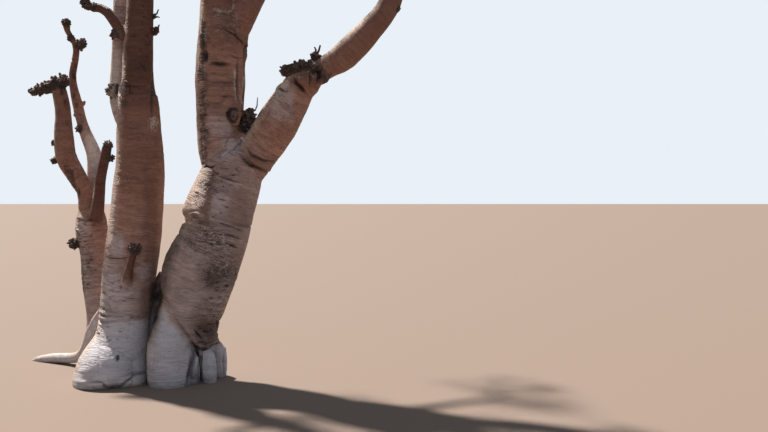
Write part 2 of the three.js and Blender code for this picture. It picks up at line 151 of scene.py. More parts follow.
def front_line(places: Array, path: tuple[Spot, ...]) -> tuple[Array, Array, Array]:
    """Measures points against a line drawn on the front.

    Args:
        places: The points, in mm.
        path: The line's corners as (x, z), in mm.

    Returns:
        Their distances in mm, their shares of its length, and 1 above it or -1 below it.
    """
    spots, corners = places[:, [0, 2]], np.array(path, float)
    run = run_along(corners)
    least, share, side = np.full(len(places), np.inf), np.zeros(len(places)), np.zeros(len(places))
    for number, (a, b) in enumerate(zip(corners[:-1], corners[1:])):
        way = b - a
        part = np.clip(((spots - a) @ way) / (way @ way), 0, 1)
        gap = spots - a - part[:, None] * way
        far = np.linalg.norm(gap, axis=1)
        closer = far < least
        least = np.where(closer, far, least)
        share = np.where(closer, (run[number] + part * (run[number + 1] - run[number])) / run[-1], share)
        side = np.where(closer, np.sign(way[0] * gap[:, 1] - way[1] * gap[:, 0]), side)
    return least, share, side


def select_only(piece: Piece) -> None:
    """Deselects everything and makes one piece the active one.

    Args:
        piece: The piece to work on.
    """
    bpy.ops.object.select_all(action="DESELECT")
    piece.select_set(True)
    bpy.context.view_layer.objects.active = piece


def apply_modifier(piece: Piece, kind: str, **sizes: object) -> None:
    """Adds a modifier with its sizes and applies it.

    Args:
        piece: The piece it works on.
        kind: Blender's name of the modifier.
        **sizes: Its settings.
    """
    select_only(piece)
    bpy.ops.object.modifier_add(type=kind)
    modifier = piece.modifiers[-1]
    for name, value in sizes.items():
        setattr(modifier, name, value)
    bpy.ops.object.modifier_apply(modifier=modifier.name)


def settle(piece: Piece) -> None:
    """Puts a piece's place into its mesh and leaves its object at the origin."""
    select_only(piece)
    bpy.ops.object.transform_apply(location=True, rotation=True, scale=True)


def rows_of(items: bpy.types.bpy_prop_collection, name: str) -> Array:
    """Reads three numbers from each item of a mesh.

    Args:
        items: Its points, or what they carry.
        name: Blender's name of what is read.

    Returns:
        One row for each.
    """
    rows = np.empty(len(items) * 3)
    items.foreach_get(name, rows)
    return rows.reshape(-1, 3)


def places_of(piece: Piece) -> Array:
    """The places of a mesh's points, in metres."""
    return rows_of(piece.data.vertices, "co")


def move_points(piece: Piece, places: Array) -> None:
    """Moves a mesh's points to the places given."""
    piece.data.vertices.foreach_set("co", np.ascontiguousarray(places, np.float32).ravel())
    piece.data.update()


def normals_of(piece: Piece) -> Array:
    """The outward direction at each point of a mesh."""
    return rows_of(piece.data.vertex_normals, "vector")


def write_values(piece: Piece, name: str, values: Array) -> None:
    """Keeps one number per point as an attribute, which a material reads by its name."""
    kept = piece.data.attributes.new(name, "FLOAT", "POINT")
    kept.data.foreach_set("value", np.ascontiguousarray(values, np.float32))


def mesh_from_arrays(name: str, points: Array, faces: list[Array]) -> Piece:
    """Joins many small shapes into one mesh.

    Args:
        name: The name of the new piece.
        points: Every point, in metres.
        faces: Arrays of faces, each with one number of corners.

    Returns:
        The new object, at the origin.
    """
    mesh = bpy.data.meshes.new(name)
    corners = np.concatenate([f.ravel() for f in faces]).astype(np.int32)
    counts = np.concatenate([np.full(len(f), f.shape[1]) for f in faces])
    starts = np.concatenate([[0], np.cumsum(counts)[:-1]]).astype(np.int32)
    mesh.vertices.add(len(points))
    mesh.vertices.foreach_set("co", np.ascontiguousarray(points, np.float32).ravel())
    mesh.loops.add(len(corners))
    mesh.loops.foreach_set("vertex_index", corners)
    mesh.polygons.add(len(starts))
    mesh.polygons.foreach_set("loop_start", starts)
    mesh.polygons.foreach_set("use_smooth", np.ones(len(starts), bool))
    mesh.update(calc_edges=True)
    mesh.validate()
    piece = bpy.data.objects.new(name, mesh)
    bpy.context.scene.collection.objects.link(piece)
    return piece


class Dice:
    """A repeatable run of numbers from 0 to 1, the same as the frame's own rule."""

    def __init__(self, seed: int) -> None:
        """Starts the run at a seed."""
        self.state = ((seed * 747796405 & 0xFFFFFFFF) + 277803737) & 0xFFFFFFFF

    def __call__(self) -> float:
        """The next number."""
        self.state = (self.state * 1664525 + 1013904223) & 0xFFFFFFFF
        return ((self.state ^ (self.state >> 15)) & 0xFFFFFFFF) / 4294967296


class Grain:
    """Smooth, seeded noise over space."""

    CELLS = 4096
    STRIDES = (73856093, 19349663, 83492791)

    def __init__(self, seed: int) -> None:
        """Fills the table of values from a seed."""
        self.table = np.random.default_rng(seed).uniform(-1, 1, self.CELLS)

    def at(self, points: Array) -> Array:
        """The noise at points whose cells are one unit wide.

        Args:
            points: Places in any units, one row each.

        Returns:
            One number from -1 to 1 for each.
        """
        cell = np.floor(points).astype(np.int64)
        part = points - cell
        part = part * part * part * (part * (part * 6 - 15) + 10)
        total = np.zeros(len(points))
        for corner in range(8):
            step = np.array([corner & 1, corner >> 1 & 1, corner >> 2 & 1])
            x, y, z = (cell + step).T * np.array(self.STRIDES)[:, None]
            value = self.table[(x ^ y ^ z) & (self.CELLS - 1)]
            total += value * np.prod(np.where(step, part, 1 - part), axis=1)
        return total

    def layers(self, points: Array, count: int = 3) -> Array:
        """Several scales of the noise laid over one another.

        Args:
            points: Places whose coarsest cells are one unit wide.
            count: How many scales.

        Returns:
            One number for each point, from about -1 to 1.
        """
        total = np.zeros(len(points))
        for layer in range(count):
            total += self.at(points * 2**layer + 17.3 * layer) / 1.8**layer
        return total / 1.6


class Spine:
    """The smooth line that a limb follows, with its girth."""

    def __init__(self, stations: tuple[Station, ...]) -> None:
        """Keeps the stations in metres, with one more beyond each end.

        Args:
            stations: The limb's own, in mm.
        """
        kept = np.array(stations, float) * MM
        self.rows = np.vstack([2 * kept[0] - kept[1], kept, 2 * kept[-1] - kept[-2]])
        self.spans = len(kept) - 1
        leaning = self.way(np.linspace(0, 1, len(kept)))[:, 1]
        self.reference = RIGHT if np.abs(leaning).max() > 0.95 else BACK

    def at(self, share: Array | float) -> Array:
        """The centre and girth at shares of the line's length.

        Args:
            share: Numbers from 0 at the first station to 1 at the last.

        Returns:
            One row of x, y, z and radius for each, in metres.
        """
        reach = np.clip(np.atleast_1d(share), 0, 1) * self.spans
        index = np.minimum(reach.astype(int), self.spans - 1)
        part = (reach - index)[:, None]
        a, b, c, d = (self.rows[index + k] for k in range(4))
        first, last = 0.5 * (c - a), 0.5 * (d - b)
        square = -3 * b + 3 * c - 2 * first - last
        return b + first * part + square * part**2 + (2 * b - 2 * c + first + last) * part**3

    def way(self, share: Array | float) -> Array:
        """The direction of the line at shares of its length."""
        step = 0.0001
        return unit((self.at(share + step) - self.at(share - step))[:, :3])

    def axes(self, share: Array, rooted: bool) -> tuple[Array, Array, Array]:
        """The directions along the limb, across it and beside it.

        Args:
            share: Where along the line.
            rooted: Whether the rings near the ground lie level.

        Returns:
            Three arrays of directions.
        """
        along = self.way(share)
        if rooted:
            height = self.at(share)[:, 2] / MM
            level = (1 - smooth(FOOT_LEVEL, FOOT_LEVEL + FOOT_BLEND, height))[:, None]
            along = unit(along * (1 - level) + UP * level)
        across = unit(np.cross(self.reference, along))
        return along, across, np.cross(along, across)


@dataclass(frozen=True)
class Toe:
    """A round lobe of the root flare: its bearing, how far out it stands, its radius and height.

    Its foot can splay outwards, and its top can tuck in under the trunk.
    """

    bearing: float
    out: float
    radius: float
    height: float
    splay: float = 0.0
    tuck: float = 0.25
    rises: ClassVar[tuple[float, ...]] = (-0.35, 0.0, 0.12, 0.3, 0.5, 0.7, 0.85, 1.0)

    def stations(self, trunk: "Limb") -> tuple[Station, ...]:
        """The line of the toe, from below the ground to where it enters its trunk.

        Args:
            trunk: The trunk that stands on it.

        Returns:
            Its stations, in mm.
        """
        turn = math.radians(self.bearing)
        made = []
        for rise in self.rises:
            x, y, _, girth = trunk.at_height(max(rise, 0) * self.height)
            climb = float(smooth(trunk.knuckle, 1, rise))
            flare = self.splay * (1 - float(smooth(0, 0.4, rise)))
            out = (self.out + flare) * (1 - climb) + girth * 0.3 * climb
            belly = 0.1 * math.sin(math.pi * min(max(rise, 0) / 0.7, 1))
            radius = self.radius * (1 + belly - self.tuck * climb)
            height = rise * self.height
            made.append((x + out * math.cos(turn), y + out * math.sin(turn), height, radius))
        return tuple(made)


@dataclass(frozen=True)
class Undercut:
    """A hollow in the foot between two bearings, up to a height that rises towards its ends."""

    start: float
    stop: float
    top: float
    depth: float
    rise: float


@dataclass(frozen=True)
class Burr:
    """A knotted lump with stubby regrowth, or a bare one: its place and size in mm."""

    x: float
    y: float
    z: float
    size: float
    bare: bool = False

    def centre(self) -> Array:
        """Its place in mm."""
        return np.array([self.x, self.y, self.z], float)


@dataclass(frozen=True)
class Limb:
    """A trunk or a bough as one tapering limb along its stations, in mm."""

    name: str
    stations: tuple[Station, ...]
    toes: tuple[Toe, ...] = ()
    knuckle: float = 0.0
    narrowing: float = 0.0
    undercut: Undercut | None = None
    burrs: tuple[Burr, ...] = ()
    tan: Spot = (0.65, 0.85)
    sides: int = 28

    def spine(self) -> Spine:
        """The limb's line."""
        return Spine(self.stations)

    def at_height(self, height: float) -> Array:
        """The centre and girth of the limb at a height above the ground, in mm."""
        rows = self.spine().at(np.linspace(0, 1, 300)) / MM
        return rows[np.abs(rows[:, 2] - height).argmin()]

    def radius(self, girth: Array, bearing: Array, height: Array) -> Array:
        """The limb's radius on one bearing, at one height above the ground.

        Args:
            girth: The plain radius there, mm.
            bearing: Radians round the limb.
            height: Above the ground, mm.

        Returns:
            The radius with its narrow foot and its hollow, mm.
        """
        radius = np.array(girth, float)
        radius *= 1 - self.narrowing * (1 - smooth(0, NARROW_TOP, height))
        if self.undercut:
            hollow = self.undercut
            middle = math.radians((hollow.start + hollow.stop) / 2)
            half = math.radians((hollow.stop - hollow.start) / 2)
            off = np.abs(np.angle(np.exp(1j * (bearing - middle))))
            top = hollow.top + hollow.rise * (off / half) ** 2
            fade = 1 - smooth(top - 60, top + 20, height)
            radius -= hollow.depth * (1 - smooth(0.7, 1, off / half)) * fade
        return radius

    def ring_shares(self) -> Array:
        """Where the rings of the limb lie, closer together in a root flare.

        Returns:
            Shares of the line's length.
        """
        line = self.spine()
        fine = np.linspace(0, 1, 400)
        at = line.at(fine)
        run = run_along(at[:, :3])
        low = (at[:, 2] < FLARE_TOP * MM) if self.toes else np.zeros(len(at), bool)
        pace = np.where(low, RING_STEP / FOOT_STEP, 1.0)
        count = np.concatenate([[0], np.cumsum(np.diff(run) * pace[1:])])
        rings = max(3, int(round(count[-1] / (RING_STEP * MM))))
        return np.interp(np.linspace(0, count[-1], rings + 1), count, fine)

    def raise_tube(self) -> Piece:
        """Draws the limb out of a disc, ring by ring along its line.

        Returns:
            A closed tube with the limb's girth.
        """
        line, shares = self.spine(), self.ring_shares()
        rings = line.at(shares)
        ways = line.axes(shares, bool(self.toes))[0]
        start = Vector(ways[0]).to_track_quat("Z", "Y").to_euler()
        bpy.ops.object.select_all(action="DESELECT")
        bpy.ops.mesh.primitive_circle_add(
            vertices=self.sides, radius=rings[0][3], fill_type="NGON",
            location=rings[0][:3], rotation=start,
        )
        tube = bpy.context.object
        tube.name = self.name
        bpy.ops.object.mode_set(mode="EDIT")
        for ring in range(1, len(rings)):
            centre, step = rings[ring][:3], rings[ring][:3] - rings[ring - 1][:3]
            swing = Vector(ways[ring - 1]).rotation_difference(Vector(ways[ring])).to_euler("XYZ")
            bpy.ops.mesh.extrude_region_move(TRANSFORM_OT_translate={"value": tuple(step)})
            for axis, angle in zip("XYZ", swing):
                bpy.ops.transform.rotate(
                    value=-angle, orient_axis=axis, orient_type="GLOBAL", center_override=centre
                )
            share = rings[ring][3] / rings[ring - 1][3]
            bpy.ops.transform.resize(value=(share, share, share), center_override=centre)
        bpy.ops.mesh.select_all(action="SELECT")
        bpy.ops.mesh.normals_make_consistent(inside=False)
        bpy.ops.object.mode_set(mode="OBJECT")
        settle(tube)
        if self.toes:
            self.press_foot(tube)
        return tube

    def press_foot(self, tube: Piece) -> None:
        """Narrows the foot of a trunk's tube and presses in its hollow.

        Args:
            tube: The plain tube of this trunk.
        """
        line, shares = self.spine(), self.ring_shares()
        rings = line.at(shares)
        along, across, beside = line.axes(shares, True)
        places = places_of(tube)
        gap = places[:, None, :] - rings[None, :, :3]
        off = np.abs(np.einsum("vrc,rc->vr", gap, along))
        off += np.abs(np.linalg.norm(gap, axis=2) - rings[None, :, 3])
        ring = off.argmin(axis=1)
        out = places - rings[ring, :3]
        bearing = np.arctan2((out * beside[ring]).sum(1), (out * across[ring]).sum(1))
        girth = rings[ring, 3] / MM
        radius = self.radius(girth, bearing, rings[ring, 2] / MM) * MM
        spread = across[ring] * np.cos(bearing)[:, None] + beside[ring] * np.sin(bearing)[:, None]
        centred = np.linalg.norm(out, axis=1) < 0.5 * girth * MM
        move_points(tube, np.where(centred[:, None], places, rings[ring, :3] + spread * radius[:, None]))


ALL_LIMBS = (
    Limb("trunk_right", (
        (-35, 0, -150, 250), (-33, 0, 300, 258), (-18, 0, 540, 272), (29, 0, 710, 289), (92, 0, 970, 324),
        (197, 0, 1225, 293), (244, 0, 1440, 304), (322, 0, 1660, 280), (390, 0, 1870, 250),
        (420, 0, 1990, 180),
    ), toes=(
        Toe(232, 188, 175, 680), Toe(192, 180, 130, 620), Toe(309, 146, 44, 345, 0, 0.7),
        Toe(344, 216, 60, 400, 10, 0.5), Toe(33, 298, 62, 450, 0, 0.3), Toe(76, 205, 120, 420),
        Toe(150, 218, 132, 460),
    ), knuckle=0.5, narrowing=0.3, undercut=Undercut(282, 376, 305, 170, 120), sides=96, tan=(0.0, 0.2)),
    Limb("trunk_middle", (
        (-604, 0, -150, 225), (-594, 0, 250, 226), (-575, 0, 470, 205), (-540, 0, 840, 223),
        (-500, 0, 1140, 227), (-453, 0, 1580, 216), (-430, 0, 1880, 206), (-438, 0, 2210, 186),
        (-444, -5, 2470, 162),
    ), toes=(
        Toe(214, 186, 176, 430, 34), Toe(255, 105, 165, 470), Toe(330, 120, 130, 440),
        Toe(180, 190, 150, 400, 20), Toe(38, 185, 122, 360), Toe(92, 185, 125, 340), Toe(146, 215, 125, 420),
    ), narrowing=0.12, sides=96, tan=(0.0, 0.72)),
    Limb("trunk_left", (
        (-1082, 700, -150, 104), (-1078, 700, 250, 98), (-1076, 700, 480, 95), (-1098, 700, 760, 107),
        (-1100, 700, 1060, 124), (-1118, 700, 1310, 148), (-1116, 700, 1490, 106), (-1116, 700, 1545, 55),
    ), toes=(Toe(300, 92, 82, 300), Toe(30, 88, 78, 260), Toe(100, 92, 74, 240), Toe(190, 84, 80, 300)),
        knuckle=0.2, narrowing=0.1, burrs=(Burr(-1262, 640, 1156, 56),), sides=64, tan=(0.1, 0.45)),
    Limb("web", (
        (-345, 130, -150, 110), (-340, 130, 300, 104), (-322, 132, 520, 92), (-305, 134, 700, 84),
        (-290, 134, 850, 60), (-276, 130, 950, 26),
    ), tan=(0.0, 0.2), sides=20),
    Limb("bough_upright", (
        (345, 10, 1660, 190), (268, 20, 2010, 194), (246, 20, 2180, 180), (254, 5, 2550, 204),
        (268, -10, 2870, 196), (246, -20, 3300, 138), (224, -30, 3600, 112), (186, -55, 4000, 90),
        (140, -85, 4360, 68),
    ), burrs=(Burr(414, -112, 2284, 72, True),), tan=(0.35, 0.85)),
    Limb("bough_reaching", (
        (470, 0, 1760, 140), (620, -5, 2023, 172), (686, -20, 2108, 176), (800, -50, 2280, 178),
        (965, -92, 2545, 138),
    ), tan=(0.4, 0.5)),
    Limb("bough_reaching_outer", (
        (925, -88, 2500, 128), (1020, -100, 2590, 140), (1104, -112, 2652, 106), (1232, -128, 2719, 101),
        (1378, -150, 2817, 118), (1686, -205, 3136, 98), (1815, -228, 3450, 84), (1990, -205, 3930, 61),
        (2110, -180, 4140, 50),
    ), burrs=(
        Burr(900, -125, 2668, 62), Burr(985, -130, 2694, 66), Burr(1065, -150, 2684, 62),
        Burr(1104, -130, 2786, 44), Burr(1796, -226, 3176, 34), Burr(1012, -176, 2604, 112, True),
        Burr(1102, -176, 2600, 84, True), Burr(1172, -170, 2606, 66, True), Burr(930, -150, 2690, 52),
        Burr(856, -130, 2668, 54), Burr(962, -222, 2680, 40), Burr(1022, -236, 2692, 40),
        Burr(1078, -236, 2668, 42), Burr(1132, -216, 2676, 36),
    ), tan=(0.6, 0.8)),
    Limb("bough_upright_right", (
        (296, 0, 2740, 106), (330, 5, 2890, 124), (436, 22, 3170, 135), (590, 60, 3500, 122),
        (690, 110, 3850, 92), (770, 160, 4200, 68),
    )),
    Limb("bough_tall", (
        (-444, -5, 2400, 165), (-443, -10, 2560, 140), (-444, 0, 2790, 129), (-430, 0, 3130, 117),
        (-412, 20, 3650, 97), (-396, 45, 4000, 84), (-420, 40, 4350, 70), (-455, 10, 4620, 56),
    ), burrs=(Burr(-298, 0, 3036, 38), Burr(-306, 0, 3160, 24)), tan=(0.95, 1.0)),
    Limb("bough_pale", (
        (-520, 60, 2180, 90), (-590, 85, 2330, 96), (-648, 100, 2500, 77), (-646, 120, 2850, 68),
        (-642, 145, 3300, 61), (-690, 290, 3650, 56), (-770, 480, 3920, 49), (-850, 640, 4130, 42),
    ), burrs=(Burr(-676, 30, 2520, 60),), tan=(0.0, 0.3)),
    Limb("bough_hooked", (
        (-490, -15, 2890, 50), (-575, -22, 3015, 50), (-636, -30, 3115, 47), (-698, -35, 3195, 44),
        (-780, -40, 3232, 40), (-852, -48, 3236, 38), (-885, -58, 3350, 36), (-872, -64, 3490, 31),
    ), burrs=(
        Burr(-888, -60, 3326, 42), Burr(-628, -40, 2998, 44), Burr(-856, -50, 3238, 46),
        Burr(-806, -44, 3236, 38), Burr(-884, -56, 3270, 44),
    ), sides=20, tan=(0.9, 1.0)),
    Limb("bough_back", (
        (290, 90, 2060, 90), (326, 150, 2230, 102), (350, 285, 2650, 82), (352, 340, 2870, 76),
        (385, 480, 3220, 74), (440, 700, 3560, 65), (520, 1100, 4080, 46),
    )),
    Limb("bough_left", (
        (-1118, 700, 1380, 96), (-1136, 690, 1510, 98), (-1164, 670, 1655, 80), (-1238, 650, 1800, 88),
        (-1322, 622, 1978, 92), (-1336, 605, 2145, 88), (-1342, 598, 2420, 73), (-1372, 590, 2610, 66),
        (-1380, 588, 2665, 52),
    ), burrs=(
        Burr(-1330, 588, 2690, 64), Burr(-1400, 588, 2668, 72), Burr(-1480, 590, 2636, 66),
        Burr(-1555, 592, 2612, 56), Burr(-1618, 594, 2592, 40), Burr(-1425, 604, 2112, 32),
        Burr(-1432, 606, 1945, 34),
    ), tan=(0.6, 0.75)),
    Limb("bough_thin", (
        (-1105, 745, 1380, 78), (-1118, 800, 1768, 74), (-1133, 820, 2010, 70), (-1234, 840, 2258, 54),
        (-1314, 855, 2550, 48), (-1356, 868, 2780, 34), (-1322, 880, 3050, 33), (-1402, 880, 3216, 29),
        (-1421, 880, 3300, 34),
    ), burrs=(
        Burr(-1272, 878, 3092, 56), Burr(-1416, 880, 3304, 44), Burr(-1268, 815, 2262, 42),
        Burr(-1190, 812, 2190, 52, True), Burr(-1300, 838, 2420, 44, True), Burr(-1250, 846, 2520, 36, True),
        Burr(-1340, 866, 2700, 34, True), Burr(-1372, 880, 3150, 38),
    ), sides=20, tan=(0.2, 0.8)),
    Limb("stub_left", (
        (-1060, 640, 1350, 58), (-1026, 590, 1455, 64), (-1002, 580, 1620, 58), (-976, 570, 1810, 52),
        (-912, 555, 2070, 46),
    ), burrs=(Burr(-902, 553, 2090, 44), Burr(-888, 553, 1966, 40)), sides=20, tan=(0.9, 1.0)),
    Limb("stub_front", (
        (-515, -120, 810, 60), (-492, -200, 872, 50), (-464, -246, 960, 37), (-395, -300, 1150, 32),
    ), burrs=(Burr(-388, -302, 1168, 52),), sides=20, tan=(0.6, 0.9)),
    Limb("root_left", (
        (-740, 60, 650, 46), (-945, 250, 415, 46), (-1035, 380, 270, 50), (-1118, 500, 150, 54),
        (-1235, 600, 80, 52), (-1390, 690, 55, 47), (-1550, 765, 38, 44), (-1690, 830, 6, 38),
        (-1770, 868, -28, 30),
    ), sides=20, tan=(0.1, 0.1)),
    Limb("knot_crotch", (
        (430, 20, 2150, 60), (480, 0, 2240, 62), (505, -10, 2310, 50), (540, -20, 2370, 26),
    ), burrs=(Burr(490, -10, 2225, 66), Burr(520, -20, 2300, 60), Burr(466, -20, 2122, 56, True)), sides=20,
        tan=(0.9, 0.9)),
    Limb("bough_tall_left", (
        (-414, 10, 3560, 60), (-480, -50, 3740, 64), (-600, -140, 3960, 57), (-740, -240, 4180, 50),
        (-850, -330, 4400, 42),
    ), sides=20),
    Limb("bough_tall_right", (
        (-404, 45, 3880, 56), (-350, 110, 4020, 60), (-250, 215, 4210, 53), (-140, 330, 4400, 46),
        (-60, 430, 4590, 40),
    ), sides=20),
    Limb("bough_reaching_inner", (
        (1800, -226, 3400, 56), (1795, -290, 3560, 62), (1750, -400, 3780, 54), (1690, -500, 4000, 47),
        (1640, -570, 4200, 40),
    ), sides=20),
    Limb("bough_upright_front", (
        (232, -40, 3420, 60), (262, -150, 3590, 66), (340, -300, 3800, 58), (430, -450, 4000, 50),
        (500, -570, 4190, 42),
    ), sides=20),
)
LIMBS: dict[str, Limb] = {limb.name: limb for limb in ALL_LIMBS}


@dataclass(frozen=True)
class Furrow:
    """A crease in the front of the bark, from point to point as (x, z), in mm.

    It tapers off at both ends, and the bark above it can hang over as a hood.
    """

    path: tuple[Spot, ...]
    width: float = 9.0
    depth: float = 7.0
    lip: float = 0.4
    # how much painted shade darkens the groove
    shade_weight: float = 0.6
    hood: float = 0.0


@dataclass(frozen=True)
class Round:
    """Something round on the front of the bark: its middle, half width and half height, in mm."""

    x: float
    z: float
    wide: float
    high: float

    def off(self, mm: Array) -> Array:
        """How far points are from its middle, in half sizes."""
        return np.hypot((mm[:, 0] - self.x) / self.wide, (mm[:, 2] - self.z) / self.high)


@dataclass(frozen=True)
class Knot(Round):
    """An eye in the bark: a hollow with folds that run round it."""

    hollow: float = 14.0
    fold: float = 5.0
    folds: float = 2.0
    # how much painted shade darkens the hollow and the folds
    shade_weight: float = 0.8
    rag: float = 0.22


@dataclass(frozen=True)
class Swelling(Round):
    """A low lump, or a hollow where the height is below nothing."""

    height: float


@dataclass(frozen=True)
class Wrinkling(Round):
    """A place that is wrinkled more than the rest, or less where the strength is below nothing."""

    strength: float


@dataclass(frozen=True)
class Patch(Round):
    """A patch of another kind of bark, or of painted shade."""

    mark: Mark
    strength: float = 1.0
    rag: float = 0.35


@dataclass(frozen=True)
class Band:
    """A long ragged strip of another kind of bark, or of painted shade, on the front, in mm."""

    mark: Mark
    path: tuple[Spot, ...]
    width: float
    strength: float = 1.0
    rag: float = 1.2


def arc(middle: Spot, radius: Spot, start: float, stop: float) -> tuple[Spot, ...]:
    """Points along an arc.

    Args:
        middle: Its centre as (x, z), mm.
        radius: Its two radii, mm.
        start: Its first bearing, degrees.
        stop: Its last bearing, degrees.

    Returns:
        Nine spots.
    """
    return tuple(
        (middle[0] + radius[0] * math.cos(turn), middle[1] + radius[1] * math.sin(turn))
        for turn in np.radians(np.linspace(start, stop, 9))
    )


def crack_field(
    spot: Spot, spread: Spot, count: int, seed: int, length: float = 46.0, slant: float = -8.0
) -> tuple[Furrow, ...]:
    """Short cracks dealt over a patch of the front by a seeded rule.

    Args:
        spot: The patch's middle as (x, z), mm.
        spread: Its half sizes, mm.
        count: How many cracks.
        seed: What the rule starts from.
        length: The longest crack, mm.
        slant: How far they lean, degrees.

    Returns:
        The cracks.
    """
    dealt, made = np.random.default_rng(seed), []
    for _ in range(count):
        turn, out = dealt.uniform(0, 2 * math.pi), math.sqrt(dealt.uniform())
        x, z = spot[0] + spread[0] * out * math.cos(turn), spot[1] + spread[1] * out * math.sin(turn)
        half, lean = length * dealt.uniform(0.3, 1.0) / 2, math.radians(slant + 14 * dealt.normal())
        dx, dz, sag = half * math.cos(lean), half * math.sin(lean), 5 * dealt.normal()
        path = ((x - dx, z - dz), (x, z + sag), (x + dx, z + dz))
        made.append(Furrow(path, dealt.uniform(3, 5.5), dealt.uniform(3, 8), 0.5, dealt.uniform(0.4, 1.0)))
    return tuple(made)


def scar_row(path: tuple[Spot, ...], count: int, size: float, seed: int) -> tuple[Knot, ...]:
    """Small scars strung along a line on the front by a seeded rule.

    Args:
        path: The line's corners as (x, z), evenly apart, mm.
        count: How many scars.
        size: The largest one's half height, mm.
        seed: What the rule starts from.

    Returns:
        The scars.
    """
    dealt, corners, made = np.random.default_rng(seed), np.array(path, float), []
    for number in range(count):
        share = (number + dealt.uniform()) / count * (len(corners) - 1)
        x, z = (float(np.interp(share, range(len(corners)), corners[:, axis])) for axis in (0, 1))
        wide, high = size * dealt.uniform(0.3, 0.7), size * dealt.uniform(0.5, 1.0)
        x += 0.4 * size * dealt.normal()
        made.append(Knot(x, z, wide, high, 0.4 * wide, 0.22 * wide, 1.5, dealt.uniform(0.5, 1.1), 0.6))
    return tuple(made)


@dataclass
class Lie:
    """Where each point of a stem lies on one of its limbs."""

    near: Array
    share: Array
    along: Array
    bearing: Array
    inner: Array
    girth: Array

    @classmethod
    def on(cls, limb: Limb, places: Array) -> "Lie":
        """Measures a mesh's points against a limb.

        Args:
            limb: The limb.
            places: The points, in metres.

        Returns:
            Their distance from its surface, share of its length, run along it, bearing round it,
            how far they are towards the inside of its bend, and its girth, in metres and radians.
        """
        line = limb.spine()
        shares = np.linspace(0, 1, 160)
        rings = line.at(shares)
        along, across, beside = line.axes(shares, bool(limb.toes))
        run = run_along(rings[:, :3])
        bend = np.gradient(line.way(shares), run, axis=0)
        index = np.empty(len(places), int)
        for first in range(0, len(places), 20000):
            part = places[first:first + 20000]
            square = (part**2).sum(1)[:, None] - 2 * part @ rings[:, :3].T
            index[first:first + 20000] = (square + (rings[:, :3] ** 2).sum(1)).argmin(1)
        gap = places - rings[index, :3]
        ahead = (gap * along[index]).sum(1)
        inside = (index > 0) & (index < len(rings) - 1)
        out = gap - along[index] * np.where(inside, ahead, 0)[:, None]
        bearing = np.arctan2((out * beside[index]).sum(1), (out * across[index]).sum(1))
        height = places[:, 2] / MM
        girth = limb.radius(rings[index, 3] / MM, bearing, height) * MM
        inner = (unit(out) * bend[index]).sum(1) * rings[index, 3]
        near = np.linalg.norm(out, axis=1) - girth
        return cls(near, shares[index], run[index] + ahead, bearing, inner, rings[index, 3])


@dataclass(frozen=True)
class BarkRelief:
    """How deep the bark's shapes are, in mm, and how far apart."""

    swell: float = 8.0
    swell_pitch: float = 240.0
    wrinkle: float = 2.6
    wrinkle_pitch: float = 30.0
    wrinkle_turns: float = 1.1
    drift: float = 14.0
    drift_pitch: float = 140.0
    strength_pitch: float = 260.0
    fold: float = 9.0
    crust: float = 5.0
    crust_pitch: float = 26.0
    scuff: float = 1.8
    scuff_pitch: float = 18.0
    rag_pitch: float = 60.0
    reach: float = 30.0


